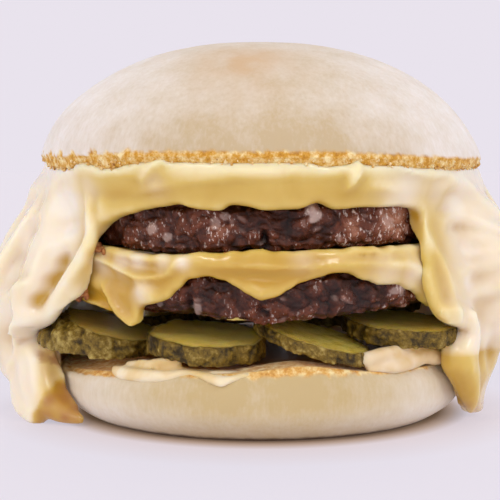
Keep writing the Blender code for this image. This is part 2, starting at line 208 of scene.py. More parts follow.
def soft_noise(points: Array, size: float, seed: int) -> Array:
    """Return rolling unevenness from -1 to 1.

    Args:
        points: Points in millimetres.
        size: Width of one swell in millimetres.
        seed: Number of the draw.

    Returns:
        One amount for each point.
    """
    scaled = points / size
    base = np.floor(scaled)
    inside = ease(0.0, 1.0, scaled - base)
    total = np.zeros(points.shape[:-1])
    for corner in product((0, 1), repeat=3):
        weight = np.prod(np.where(corner, inside, 1.0 - inside), axis=-1)
        total += weight * chance(base + np.array(corner), seed)
    return 2.0 * total - 1.0


def layered_noise(points: Array, size: float, seed: int, layers: int = 3) -> Array:
    """Return unevenness of several sizes, each half as wide and high as the one before.

    Args:
        points: Points in millimetres.
        size: Width of the widest swell.
        seed: Number of the draw.
        layers: How many sizes.

    Returns:
        One amount for each point, about -1 to 1.
    """
    total = np.zeros(points.shape[:-1])
    for layer in range(layers):
        total += soft_noise(points, size / 2.0**layer, seed + layer) / 2.0**layer
    return total / (2.0 - 2.0 ** (1 - layers))


def clumps(points: Array, size: float, seed: int) -> tuple[Array, Array, Array]:
    """Divide space into clumps, each round a scattered centre.

    Args:
        points: Points in millimetres.
        size: Mean width of a clump.
        seed: Number of the draw.

    Returns:
        The distance to the nearest centre and to the second, in widths, and a number from
        0 to 1 that is the same all over a clump.
    """
    scaled = points / size
    base = np.floor(scaled)
    nearest = np.full(points.shape[:-1], 9.0)
    second = nearest.copy()
    owner = np.zeros(points.shape[:-1])
    for offset in product((-1, 0, 1), repeat=3):
        cell = base + np.array(offset)
        centre = cell + np.stack([chance(cell, seed + 7 * k) for k in range(3)], axis=-1)
        distance = np.linalg.norm(scaled - centre, axis=-1)
        closer = distance < nearest
        second = np.where(closer, nearest, np.minimum(second, distance))
        owner = np.where(closer, chance(cell, seed + 31), owner)
        nearest = np.where(closer, distance, nearest)
    return nearest, second, owner


def stacked(angles: Array, rows: list[tuple[Any, Any]], top: float, bottom: float) -> Form:
    """Close rings of points into one solid, from its top middle to its bottom middle.

    Args:
        angles: Angles of the points of a ring, in degrees.
        rows: Each a radius and a height, for one ring or several.
        top: Height of the top middle.
        bottom: Height of the bottom middle.

    Returns:
        The solid's points in millimetres and its faces.
    """
    full = [np.broadcast_arrays(*row, angles[None, :])[:2] for row in rows]
    radius, height = (np.concatenate([row[part] for row in full]) for part in (0, 1))
    rings, count = radius.shape
    ring_points = turned_point(angles, radius, height).reshape(-1, 3)
    middles = np.array([[0.0, 0.0, top], [0.0, 0.0, bottom]])
    index = 2 + np.arange(rings * count).reshape(rings, count)
    after = np.roll(index, -1, axis=1)
    quads = np.stack((index[:-1], index[1:], after[1:], after[:-1]), axis=-1).reshape(-1, 4)
    cap = np.stack((np.zeros(count, int), index[0], after[0]), axis=-1)
    base = np.stack((np.ones(count, int), after[-1], index[-1]), axis=-1)
    faces = [tuple(face) for part in (quads, cap, base) for face in part.tolist()]
    return np.concatenate((middles, ring_points)), faces


def round_turn(outside: Any, inside: Any, level: Array, depth: float, steps: int
               ) -> list[tuple[Any, Any]]:
    """Turn a hanging sheet round its lower edge, from its outer to its inner face.

    Args:
        outside: Radius of the outer face.
        inside: Radius of the inner face.
        level: Height at which the turn begins and ends.
        depth: How far the edge hangs below that.
        steps: Number of rings.

    Returns:
        Rows of radius and height.
    """
    half = 0.5 * (outside - inside)
    return [(inside + half + half * math.cos(turn), level - depth * math.sin(turn))
            for turn in np.linspace(0.0, math.pi, steps + 1)[1:]]


def mesh_of(name: str, form: Form) -> bpy.types.Mesh:
    """Write a form in millimetres as a smooth mesh in metres.

    Args:
        name: Name of the mesh.
        form: Its points and faces.

    Returns:
        The mesh.
    """
    points, faces = form
    mesh = bpy.data.meshes.new(name)
    mesh.from_pydata((points * MM).tolist(), [], faces)
    mesh.update()
    mesh.shade_smooth()
    return mesh


def read(items: Any, name: str, width: int, kind: type = float) -> Array:
    """Read one value or vector from each item of a mesh.

    Args:
        items: The mesh's vertices, normals or edges.
        name: What is read.
        width: How many numbers it has.
        kind: Type of the numbers.

    Returns:
        One row for each item.
    """
    flat = np.empty(len(items) * width, kind)
    items.foreach_get(name, flat)
    return flat.reshape(-1, width)


def points_of(mesh: bpy.types.Mesh) -> Array:
    """Return a mesh's points in millimetres."""
    return read(mesh.vertices, "co", 3) / MM


def normals_of(mesh: bpy.types.Mesh) -> Array:
    """Return the outward direction at each of a mesh's points."""
    return read(mesh.vertex_normals, "vector", 3)


def move_points(mesh: bpy.types.Mesh, points: Array) -> None:
    """Put a mesh's points at new places, given in millimetres."""
    mesh.vertices.foreach_set("co", (points * MM).ravel())
    mesh.update()


def paint(mesh: bpy.types.Mesh, name: str, amounts: Array) -> None:
    """Keep one number for each point of a mesh, under a name that its finish reads."""
    layer = mesh.attributes.new(name, "FLOAT", "POINT")
    layer.data.foreach_set("value", np.asarray(amounts, np.float32))


def edges_of(mesh: bpy.types.Mesh) -> Array:
    """Return the pairs of points that a mesh's edges join."""
    return read(mesh.edges, "vertices", 2, int)


def relaxed(points: Array, edges: Array, rounds: int, share: float = 0.5) -> Array:
    """Draw each point towards the middle of its neighbours.

    Args:
        points: The points.
        edges: Pairs of joined points.
        rounds: How many times.
        share: How far each time.

    Returns:
        The softened points.
    """
    size = len(points)
    joined = np.bincount(edges.ravel(), minlength=size).clip(1)
    one, other = edges.T
    for _ in range(rounds):
        middle = np.empty_like(points)
        for axis in range(points.shape[1]):
            middle[:, axis] = np.bincount(one, points[other, axis], size)
            middle[:, axis] += np.bincount(other, points[one, axis], size)
        points = points + share * (middle / joined[:, None] - points)
    return points


def hollowness(mesh: bpy.types.Mesh, rounds: int) -> Array:
    """Measure how deep each point lies in a hollow of its surface.

    Args:
        mesh: The mesh.
        rounds: How wide the hollows are, in steps along its edges.

    Returns:
        Millimetres below the surface round about, negative on a ridge.
    """
    points = points_of(mesh)
    soft = relaxed(points, edges_of(mesh), rounds, 0.9)
    return np.einsum("ij,ij->i", soft - points, normals_of(mesh))


def fused(name: str, forms: list[Form], grain: float, rounds: int) -> bpy.types.Mesh:
    """Melt overlapping closed forms into one skin.

    Args:
        name: Name of the mesh.
        forms: The forms in millimetres.
        grain: Width of a face of the skin in millimetres.
        rounds: How often the skin is softened.

    Returns:
        The skin as a mesh.
    """
    points = np.concatenate([form[0] for form in forms])
    faces: Faces = []
    start = 0
    for form_points, form_faces in forms:
        faces += [tuple(corner + start for corner in face) for face in form_faces]
        start += len(form_points)
    rough = mesh_of(name + "_rough", (points, faces))
    holder = bpy.data.objects.new(name + "_rough", rough)
    bpy.context.scene.collection.objects.link(holder)
    melt = holder.modifiers.new("melt", "REMESH")
    melt.mode = "VOXEL"
    melt.voxel_size = grain * MM
    graph = bpy.context.evaluated_depsgraph_get()
    mesh = bpy.data.meshes.new_from_object(holder.evaluated_get(graph))
    mesh.name = name
    bpy.data.objects.remove(holder, do_unlink=True)
    bpy.data.meshes.remove(rough)
    move_points(mesh, relaxed(points_of(mesh), edges_of(mesh), rounds))
    mesh.shade_smooth()
    return mesh


def add_piece(name: str, mesh: bpy.types.Mesh, finish: "Finish", slot: Slot,
              nodes: tuple[str, ...] = ()) -> None:
    """Put a finished piece into the scene and join it to the frame.

    Args:
        name: Name of the piece.
        mesh: Its mesh.
        finish: What it is made of.
        slot: The record's slot for its finish; not used.
        nodes: The nodes it stands for.
    """
    mesh.materials.clear()
    mesh.materials.append(finish.material())
    piece = bpy.data.objects.new(name, mesh)
    bpy.context.scene.collection.objects.link(piece)
    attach(piece, BODY)
    if nodes:
        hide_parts(*nodes)
    log.info("%s: %d faces", name, len(mesh.polygons))


def smooth_path(path: tuple[tuple[float, ...], ...], step: float) -> Array:
    """Run a smooth line through a few points.

    Args:
        path: The points, of any number of values each.
        step: Spacing along the line, in the units of its first three values.

    Returns:
        The points of the line.
    """
    knots = np.array(path, float)
    padded = np.concatenate((2 * knots[:1] - knots[1:2], knots, 2 * knots[-1:] - knots[-2:-1]))
    runs = []
    for before, start, end, after in zip(padded, padded[1:], padded[2:], padded[3:]):
        count = max(2, math.ceil(np.linalg.norm((end - start)[:3]) / step))
        t = np.linspace(0.0, 1.0, count, endpoint=False)[:, None]
        runs.append(0.5 * (2 * start + (end - before) * t
                           + (2 * before - 5 * start + 4 * end - after) * t**2
                           + (3 * start - before - 3 * end + after) * t**3))
    return np.concatenate(runs + [knots[-1:]])


@dataclass(frozen=True)
class Fold:
    """A ridge or groove on a turned surface, drawn by its path in (angle, height)."""

    path: Knots
    width: float
    rise: float

    def over(self, angle: Array, height: Array, radius: float) -> Array:
        """Return how far the fold lifts the surface at some places.

        Args:
            angle: Angles of the places.
            height: Their heights.
            radius: Radius at which angles are turned to lengths.

        Returns:
            Millimetres at each place.
        """
        scale = math.radians(radius)
        line = smooth_path(tuple((a * scale, h, 0.0) for a, h in self.path), self.width / 2.0)
        ends = np.sin(np.linspace(0.0, math.pi, len(line))) ** 0.5
        best = np.full(angle.shape, np.inf)
        lift = np.zeros(angle.shape)
        for (place, level, _), end in zip(line, ends):
            apart = (angle * scale - place) ** 2 + (height - level) ** 2
            closer = apart < best
            best = np.where(closer, apart, best)
            lift = np.where(closer, end, lift)
        return self.rise * lift * np.exp(-best / self.width**2)


class Spot(NamedTuple):
    """A round patch on a turned surface, by its angle, height, size and strength."""

    angle: float
    height: float
    size: float
    strength: float

    def fade(self, angle: Array, height: Array, scale: float = 1.0, power: float = 1.0) -> Array:
        """Return how the patch fades, from 1 at its middle, with angles turned to lengths."""
        apart = ((angle - self.angle) * scale) ** 2 + (height - self.height) ** 2
        return np.exp(-((apart / self.size**2) ** power))


@dataclass(frozen=True)
class Strand:
    """A run of molten cheese, by (angle, radius, height, half its thickness) along it."""

    path: Quads

    def forms(self) -> list[Form]:
        """Return the balls that the strand is melted from."""
        spots = tuple((*turned_point(a, r, h), thick) for a, r, h, thick in self.path)
        return [ball(place[:3], max(0.3, place[3])) for place in smooth_path(spots, 0.5)]


def strand_forms(strands: tuple[Strand, ...]) -> list[Form]:
    """Return the balls of several strands."""
    return [form for strand in strands for form in strand.forms()]


def ball(centre: Array, radius: float, sides: int = 10) -> Form:
    """Return a small round form.

    Args:
        centre: Its middle.
        radius: Its radius.
        sides: Faces round it.

    Returns:
        Its points and faces.
    """
    tilt = np.linspace(0.5 * np.pi, -0.5 * np.pi, sides // 2 + 1)[1:-1, None]
    rows = [(np.cos(tilt) * radius, np.sin(tilt) * radius)]
    points, faces = stacked(even_angles(sides), rows, radius, -radius)
    return points + centre, faces


def linear(code: str) -> tuple[float, float, float, float]:
    """Turn an sRGB hex colour to the linear colour that a shader takes.

    Args:
        code: Six hex digits after a hash.

    Returns:
        Red, green, blue and 1.
    """
    parts = [int(code[k:k + 2], 16) / 255.0 for k in (1, 3, 5)]
    red, green, blue = (
        part / 12.92 if part <= 0.04045 else ((part + 0.055) / 1.055) ** 2.4 for part in parts
    )
    return red, green, blue, 1.0


def per_metre(size: float) -> float:
    """Return a texture's scale for a pattern of this size in millimetres."""
    return 1.0 / (size * MM)


class Shading:
    """The node tree of a material or of the world."""

    def __init__(self, owner: bpy.types.Material | bpy.types.World) -> None:
        """Clear the owner's nodes.

        Args:
            owner: What the nodes shade.
        """
        owner.use_nodes = True
        self.tree = owner.node_tree
        self.tree.nodes.clear()

    def add(self, kind: str, inputs: dict[str, Any] | None = None, stops: Stops = (),
            out: str = "", **settings: Any) -> bpy.types.NodeSocket | None:
        """Add a node with its settings and links.

        Args:
            kind: Type of the node, without the ShaderNode that it starts with.
            inputs: Value, hex colour or socket for each named input.
            stops: Colours along a ramp, as (place, hex colour), the first and last first.
            out: Name of the output that is wanted, else the first.
            **settings: Properties of the node.

        Returns:
            The wanted output, if the node has any.
        """
        node = self.tree.nodes.new("ShaderNode" + kind)
        for name, value in settings.items():
            setattr(node, name, value)
        for name, value in (inputs or {}).items():
            entry = next(s for s in node.inputs if name in (s.identifier, s.name))
            if isinstance(value, bpy.types.NodeSocket):
                self.tree.links.new(value, entry)
            else:
                entry.default_value = linear(value) if isinstance(value, str) else value
        for count, (place, code) in enumerate(stops):
            marks = node.color_ramp.elements
            mark = marks[count] if count < 2 else marks.new(place)
            mark.position = place
            mark.color = linear(code)
        wanted = [s for s in node.outputs if out in ("", s.identifier, s.name)]
        return wanted[0] if wanted else None


class Finish:
    """A surface finish: one material, made when it is first asked for."""

    name = "finish"
    made: dict[str, bpy.types.Material] = {}

    def build(self, add: Add) -> None:
        """Add the nodes of the finish with the function that adds a node."""
        raise NotImplementedError

    def material(self) -> bpy.types.Material:
        """Return the material, made once.

        Returns:
            The material.
        """
        if self.name not in Finish.made:
            material = bpy.data.materials.new(self.name)
            self.build(Shading(material).add)
            Finish.made[self.name] = material
        return Finish.made[self.name]


@dataclass(frozen=True)
class FlouredCrust(Finish):
    """Steamed bread crust dusted with flour: matt, pale, mottled, with a toasted cut edge; painted
    whiter where light falls on it.
    """

    name: str = "floured bun crust"
    crust: str = "#C9B592"
    blush: str = "#D0AE84"
    flour: str = "#F5F1ED"
    toast: str = "#D6A03F"
    char: str = "#A66B26"
    crumb: str = "#F5E2AA"
    mottle_mm: float = 8.0
    streak_mm: float = 0.9
    scorch_mm: float = 2.2
    grain_mm: float = 0.45

    def build(self, add: Add) -> None:
        """Add the crust's nodes.

        Args:
            add: Adds a node and returns its output.
        """
        place = add("TexCoord", out="Object")
        mottle = add("TexNoise", {
            "Vector": place, "Scale": per_metre(self.mottle_mm), "Detail": 6.0, "Roughness": 0.65})
        # Flour hangs in short upright streaks, so this pattern is drawn out along Z.
        upright = add("Mapping", {"Vector": place, "Scale": (1.0, 1.0, 0.25)})
        streak = add("TexNoise", {
            "Vector": upright, "Scale": per_metre(self.streak_mm), "Detail": 3.0,
            "Roughness": 0.6})
        patch = add("Math", {"Value": streak, "Value_001": 0.5, "Value_002": mottle},
                    operation="MULTIPLY_ADD")
        # The attribute paints flour and painted light: whiter towards the bun's left and right edges,
        # low on the lower bun and on the top bun's crown.
        dust = add("Attribute", out="Fac", attribute_name="dust")
        cover = add("Math", {"Value": patch, "Value_001": 0.9, "Value_002": dust},
                    operation="MULTIPLY_ADD")
        spread = add("MapRange", {"Value": cover, "From Min": 0.6, "From Max": 1.7})
        shade = add("ValToRGB", {"Fac": spread}, stops=(
            (0.0, self.crust), (1.0, self.flour)))
        # Blush on the top bun's crown; on the lower bun, a dark brown foot that is partly a baked
        # base, partly painted contact shadow.
        blushed = add("Attribute", out="Fac", attribute_name="blush")
        warm = add("Mix", {
            "Factor_Float": blushed, "A_Color": shade, "B_Color": self.blush},
            data_type="RGBA", out="Result_Color")
        scorch = add("TexNoise", {
            "Vector": place, "Scale": per_metre(self.scorch_mm), "Detail": 5.0, "Roughness": 0.7})
        brown = add("ValToRGB", {"Fac": scorch}, stops=(
            (0.30, self.char), (0.64, self.crumb), (0.46, self.toast)))
        toasted = add("Attribute", out="Fac", attribute_name="toast")
        colour = add("Mix", {
            "Factor_Float": toasted, "A_Color": warm, "B_Color": brown},
            data_type="RGBA", out="Result_Color")
        grain = add("TexNoise", {
            "Vector": place, "Scale": per_metre(self.grain_mm), "Detail": 3.0, "Roughness": 0.6})
        bump = add("Bump", {
            "Height": grain, "Strength": 0.25, "Distance": 0.25 * MM})
        surface = add("BsdfPrincipled", {
            "Base Color": colour, "Roughness": 0.82, "Subsurface Weight": 0.25,
            "Subsurface Radius": (1.0, 0.72, 0.5), "Subsurface Scale": 2.0 * MM,
            "Sheen Weight": 0.2, "Sheen Roughness": 0.4, "Specular IOR Level": 0.1,
            "Normal": bump})
        add("OutputMaterial", {"Surface": surface})


@dataclass(frozen=True)
class BareCrust(FlouredCrust):
    """Lower bun crust: the same bread with less flour, so it looks smoother and warmer."""

    name: str = "lower bun crust"
    crust: str = "#CBB586"
    # Dark brown for the foot: a baked base, partly painted contact shadow.
    blush: str = "#6B4A26"
    flour: str = "#E9E1D3"
    toast: str = "#E0AF60"
    char: str = "#BE7A38"


@dataclass(frozen=True)
class SearedBeef(Finish):
    """Coarse minced beef, seared: dark crust and painted shade in the cracks, red-brown grains, wet
    with fat, with painted glints.
    """

    name: str = "seared minced beef"
    crack: str = "#160502"
    crust: str = "#3C180B"
    grain: str = "#6E3720"
    pale: str = "#AA745A"
    fat: str = "#C8AFA4"
    glint: str = "#F2E2D8"
    speck_mm: float = 0.8
    lump_mm: float = 4.0
    bead_mm: float = 0.7

    def build(self, add: Add) -> None:
        """Add the beef's nodes.

        Args:
            add: Adds a node and returns its output.
        """
        place = add("TexCoord", out="Object")
        tone = add("Attribute", out="Fac", attribute_name="tone")
        speck = add("TexNoise", {
            "Vector": place, "Scale": per_metre(self.speck_mm), "Detail": 5.0, "Roughness": 0.7})
        lump = add("TexNoise", {
            "Vector": place, "Scale": per_metre(self.lump_mm), "Detail": 3.0})
        base = add("Math", {"Value": lump, "Value_001": 0.6, "Value_002": tone},
                   operation="MULTIPLY_ADD")
        mixed = add("Math", {"Value": speck, "Value_001": 0.42, "Value_002": base},
                    operation="MULTIPLY_ADD")
        # Darkest where the tone is lowest, in the seams between grains: partly dark crust, partly
        # painted shade.
        meat = add("ValToRGB", {"Fac": mixed}, stops=(
            (0.30, self.crack), (0.98, self.pale), (0.48, self.crust), (0.72, self.grain)))
        fatty = add("Attribute", out="Fac", attribute_name="fat")
        colour = add("Mix", {
            "Factor_Float": fatty, "A_Color": meat, "B_Color": self.fat},
            data_type="RGBA", out="Result_Color")
        # Painted highlights: pale specks mixed into the colour where the meat is wet, as glints of the
        # lamps on beads of fat.
        upright = add("Mapping", {"Vector": place, "Scale": (1.0, 1.0, 0.45)})
        beads = add("TexNoise", {
            "Vector": upright, "Scale": per_metre(self.bead_mm), "Detail": 2.0, "Roughness": 0.6})
        bead = add("MapRange", {
            "Value": beads, "From Min": 0.58, "From Max": 0.66, "To Max": 0.9})
        greasy = add("MapRange", {"Value": base, "From Min": 0.30, "From Max": 0.55})
        glinting = add("Math", {"Value": bead, "Value_001": greasy},
                       operation="MULTIPLY")
        colour = add("Mix", {
            "Factor_Float": glinting, "A_Color": colour, "B_Color": self.glint},
            data_type="RGBA", out="Result_Color")
        wet = add("MapRange", {
            "Value": lump, "From Min": 0.35, "From Max": 0.65, "To Min": 0.38, "To Max": 0.18})
        bump = add("Bump", {"Height": speck, "Strength": 0.8, "Distance": 0.4 * MM})
        surface = add("BsdfPrincipled", {
            "Base Color": colour, "Roughness": wet, "Specular IOR Level": 0.32,
            "Subsurface Weight": 0.1, "Subsurface Radius": (1.0, 0.35, 0.25),
            "Subsurface Scale": 1.2 * MM, "Normal": bump})
        add("OutputMaterial", {"Surface": surface})


@dataclass(frozen=True)
class MoltenCheese(Finish):
    """Processed cheese, molten: smooth, waxy and translucent; deeper yellow in its hollows, partly as
    painted shade, and near white in painted highlights.
    """

    name: str = "molten processed cheese"
    pale: str = "#F6E7B8"
    body: str = "#DEC167"
    deep: str = "#C59A30"
    # Toffee brown serves rubbed toast and painted shade; cream is the near white of the painted
    # highlights.
    toffee: str = "#B27F42"
    cream: str = "#F9F0E1"
    swirl_mm: float = 13.0
    dimple_mm: float = 2.4

    def build(self, add: Add) -> None:
        """Add the cheese's nodes.

        Args:
            add: Adds a node and returns its output.
        """
        place = add("TexCoord", out="Object")
        # Painted shade: deeper yellow in hollows and on faces turned down or away from the lamps,
        # partly the cheese's own deeper colour where it is thick.
        hollow = add("Attribute", out="Fac", attribute_name="hollow")
        swirl = add("TexNoise", {
            "Vector": place, "Scale": per_metre(self.swirl_mm), "Detail": 3.0, "Distortion": 0.8})
        tone = add("Math", {"Value": swirl, "Value_001": 0.4, "Value_002": hollow},
                   operation="MULTIPLY_ADD")
        yellow = add("ValToRGB", {"Fac": tone}, stops=(
            (0.2, self.pale), (1.0, self.deep), (0.58, self.body)))
        # Toffee brown: toast rubbed on to the cheese, and painted shade at the feet of the curtains.
        browned = add("Attribute", out="Fac", attribute_name="browned")
        yellow = add("Mix", {
            "Factor_Float": browned, "A_Color": yellow, "B_Color": self.toffee},
            data_type="RGBA", out="Result_Color")
        # Painted light: near white for glossy highlights and for the sides that the lamps light hard.
        milky = add("Attribute", out="Fac", attribute_name="milky")
        colour = add("Mix", {
            "Factor_Float": milky, "A_Color": yellow, "B_Color": self.cream},
            data_type="RGBA", out="Result_Color")
        dimple = add("TexNoise", {
            "Vector": place, "Scale": per_metre(self.dimple_mm), "Detail": 2.0})
        bump = add("Bump", {"Height": dimple, "Strength": 0.1, "Distance": 0.4 * MM})
        surface = add("BsdfPrincipled", {
            "Base Color": colour, "Roughness": 0.24, "Subsurface Weight": 0.65,
            "Subsurface Radius": (1.0, 0.8, 0.38), "Subsurface Scale": 3.4 * MM,
            "Specular IOR Level": 0.5, "Coat Weight": 0.25, "Coat Roughness": 0.1,
            "Normal": bump})
        add("OutputMaterial", {"Surface": surface})


@dataclass(frozen=True)
class PickledCucumber(Finish):
    """Cucumber pickled in brine: wet, glassy olive flesh inside a dull, warty, speckled rind.

    Each slice's flesh is painted lighter by its own amount ("light"): painted light for the slices
    that sit in shade under the cheese and the patty.
    """

    name: str = "pickled cucumber"
    flesh: str = "#F3D765"
    flesh_pale: str = "#F8DC70"
    flesh_dark: str = "#D9B84E"
    rind: str = "#7B621C"
    rind_dark: str = "#382B0B"
    rind_pale: str = "#BFAA62"
    cell_mm: float = 2.6
    wart_mm: float = 0.5

    def build(self, add: Add) -> None:
        """Add the pickle's nodes.

        Args:
            add: Adds a node and returns its output.
        """
        place = add("TexCoord", out="Object")
        cells = add("TexNoise", {
            "Vector": place, "Scale": per_metre(self.cell_mm), "Detail": 3.0})
        # Painted light: each slice's flesh painted lighter by its own amount.
        lit = add("Attribute", out="Fac", attribute_name="light")
        fresh = add("Math", {"Value": cells, "Value_001": lit}, operation="ADD")
        pulp = add("ValToRGB", {"Fac": fresh}, stops=(
            (0.32, self.flesh_dark), (0.68, self.flesh_pale), (0.5, self.flesh)))
        warts = add("TexNoise", {
            "Vector": place, "Scale": per_metre(self.wart_mm), "Detail": 5.0, "Roughness": 0.75})
        height = add("Attribute", out="Fac", attribute_name="wart")
        mixed = add("Math", {"Value": warts, "Value_001": 0.85, "Value_002": height},
                    operation="MULTIPLY_ADD")
        skin = add("ValToRGB", {"Fac": mixed}, stops=(
            (0.28, self.rind_dark), (1.0, self.rind_pale), (0.6, self.rind)))
        rind = add("Attribute", out="Fac", attribute_name="rind")
        colour = add("Mix", {
            "Factor_Float": rind, "A_Color": pulp, "B_Color": skin},
            data_type="RGBA", out="Result_Color")
        shine = add("MapRange", {"Value": rind, "To Min": 0.16, "To Max": 0.42})
        bump = add("Bump", {"Height": warts, "Strength": 0.7, "Distance": 0.35 * MM})
        clear = add("MapRange", {"Value": rind, "To Min": 0.85, "To Max": 0.15})
        surface = add("BsdfPrincipled", {
            "Base Color": colour, "Roughness": shine, "Specular IOR Level": 0.28,
            "Subsurface Weight": clear, "Subsurface Radius": (1.0, 0.8, 0.2),
            "Subsurface Scale": 4.5 * MM, "Normal": bump})
        add("OutputMaterial", {"Surface": surface})


@dataclass(frozen=True)
class CreamySauce(Finish):
    """Egg and oil sauce: pale, opaque and glossy; a thin film lets the toasted bread through."""

    name: str = "creamy sauce"
    cream: str = "#F4E5C6"
    yellow: str = "#E6C98C"
    soaked: str = "#A8703A"
    swirl_mm: float = 8.0

    def build(self, add: Add) -> None:
        """Add the sauce's nodes.

        Args:
            add: Adds a node and returns its output.
        """
        place = add("TexCoord", out="Object")
        swirl = add("TexNoise", {
            "Vector": place, "Scale": per_metre(self.swirl_mm), "Detail": 2.0, "Distortion": 1.0})
        colour = add("ValToRGB", {"Fac": swirl}, stops=(
            (0.35, self.cream), (0.7, self.yellow)))
        thin = add("Attribute", out="Fac", attribute_name="thin")
        colour = add("Mix", {
            "Factor_Float": thin, "A_Color": colour, "B_Color": self.soaked},
            data_type="RGBA", out="Result_Color")
        surface = add("BsdfPrincipled", {
            "Base Color": colour, "Roughness": 0.34, "Subsurface Weight": 0.4,
            "Subsurface Radius": (1.0, 0.75, 0.4), "Subsurface Scale": 2.0 * MM,
            "Specular IOR Level": 0.25})
        add("OutputMaterial", {"Surface": surface})


@dataclass(frozen=True)
class ToastedCrumb(Finish):
    """Toasted bread crumb: dry, open and golden, darker where the grill touched it."""

    name: str = "toasted crumb"
    golden: str = "#DDB060"
    dark: str = "#B27C3A"
    light: str = "#F5E3B4"
    fleck_mm: float = 1.3

    def build(self, add: Add) -> None:
        """Add the crumb's nodes.

        Args:
            add: Adds a node and returns its output.
        """
        place = add("TexCoord", out="Object")
        fleck = add("TexNoise", {
            "Vector": place, "Scale": per_metre(self.fleck_mm), "Detail": 3.0})
        colour = add("ValToRGB", {"Fac": fleck}, stops=(
            (0.32, self.dark), (0.68, self.light), (0.48, self.golden)))
        surface = add("BsdfPrincipled", {
            "Base Color": colour, "Roughness": 0.7, "Subsurface Weight": 0.15,
            "Subsurface Radius": (1.0, 0.6, 0.3), "Subsurface Scale": 1.0 * MM})
        add("OutputMaterial", {"Surface": surface})


@dataclass(frozen=True)
class BrownedBit(ToastedCrumb):
    """Bread and cheese browned on the grill: the same crumb, several shades darker."""

    name: str = "browned bit"
    golden: str = "#96562A"
    dark: str = "#5E2C12"
    light: str = "#C08A4E"


@dataclass(frozen=True)
class LitTable(Finish):
    """White acrylic table lit from below: even, with a painted contact shadow, dark and brown, round
    the burger's foot.
    """

    name: str = "lit table"
    tint: str = "#9B8779"
    # The glow through the acrylic, by the distance from the middle in millimetres: dark and brown near
    # the burger's foot as a painted contact shadow, even further out.
    glow: Stops = (
        (44.0, "#3A2E22"), (72.0, "#BCC3D5"), (47.5, "#4E4032"), (50.5, "#877B74"),
        (55.0, "#B5B5C2"),
    )
    reach_mm: float = 100.0

    def build(self, add: Add) -> None:
        """Add the table's nodes.

        Args:
            add: Adds a node and returns its output.
        """
        place = add("TexCoord", out="Object")
        away = add("VectorMath", {"Vector": place}, out="Value", operation="LENGTH")
        share = add("MapRange", {"Value": away, "From Max": self.reach_mm * MM})
        light = add("ValToRGB", {"Fac": share}, stops=tuple(
            (reach / self.reach_mm, code) for reach, code in self.glow))
        surface = add("BsdfPrincipled", {
            "Base Color": self.tint, "Roughness": 0.9, "Specular IOR Level": 0.0,
            "Emission Color": light, "Emission Strength": 1.0})
        add("OutputMaterial", {"Surface": surface})


@dataclass(frozen=True)
class Studio:
    """The floor, the light and the camera."""

    eye: tuple[float, float, float] = (-2.9, -350.0, 66.0)
    look_down: float = 4.0
    focal: float = 94.9
    sensor: float = 36.0
    nearest: float = 10.0
    floor_reach: float = 6000.0
    floor_sides: int = 96
    horizon: str = "#E9E3ED"
    overhead: str = "#BAB6C0"
    # Heights at which the air turns from horizon to overhead, as the sine of the angle.
    band: tuple[float, float] = (0.14, 0.5)
    # Soft lamps: (azimuth from the front, height above the horizon, spread, strength, tint).
    lamps: tuple[tuple[float, float, float, float, str], ...] = (
        (-56.0, 28.0, 48.0, 0.62, "#FFFAF2"),
        (58.0, 30.0, 48.0, 0.62, "#FFFAF2"),
        (165.0, 62.0, 60.0, 0.46, "#FFFAF2"),
        (-4.0, 15.0, 24.0, 0.22, "#FFF8EA"),
        (-34.0, 38.0, 8.0, 0.30, "#FFFDF8"),
        (40.0, 34.0, 8.0, 0.26, "#FFFDF8"),
    )

    def build(self) -> None:
        """Set up the floor, the lights and the camera."""
        self.lay_floor()
        self.light()
        self.place_camera()

    def lay_floor(self) -> None:
        """Lay a wide round floor under the burger."""
        rim = turned_point(even_angles(self.floor_sides), self.floor_reach, 0.0)
        mesh = mesh_of("floor", (rim, [tuple(range(self.floor_sides))]))
        mesh.materials.append(LitTable().material())
        floor = bpy.data.objects.new("floor", mesh)
        bpy.context.scene.collection.objects.link(floor)

    def light(self) -> None:
        """Fill the air with even light and hang the soft lamps."""
        world = bpy.data.worlds.new("studio air")
        add = Shading(world).add
        split = add("SeparateXYZ", {
            "Vector": add("TexCoord", out="Generated")}, out="Z")
        shade = add("ValToRGB", {"Fac": split}, stops=(
            (self.band[0], self.horizon), (self.band[1], self.overhead)))
        add("OutputWorld", {"Surface": add("Background", {"Color": shade})})
        bpy.context.scene.world = world
        for number, (azimuth, height, spread, strength, tint) in enumerate(self.lamps):
            lamp = bpy.data.lights.new(f"soft lamp {number}", "SUN")
            lamp.energy = strength
            lamp.angle = math.radians(spread)
            lamp.color = linear(tint)[:3]
            holder = bpy.data.objects.new(lamp.name, lamp)
            holder.rotation_euler = (math.radians(90.0 - height), 0.0, math.radians(azimuth))
            bpy.context.scene.collection.objects.link(holder)

    def place_camera(self) -> None:
        """Stand the camera where the photo was taken from."""
        camera = bpy.data.cameras.new("camera")
        camera.lens = self.focal
        camera.sensor_width = self.sensor
        camera.clip_start = self.nearest * MM
        holder = bpy.data.objects.new("camera", camera)
        holder.location = [value * MM for value in self.eye]
        holder.rotation_euler = (math.radians(90.0 - self.look_down), 0.0, 0.0)
        bpy.context.scene.collection.objects.link(holder)
        bpy.context.scene.camera = holder
        bpy.context.scene.view_settings.view_transform = "Standard"


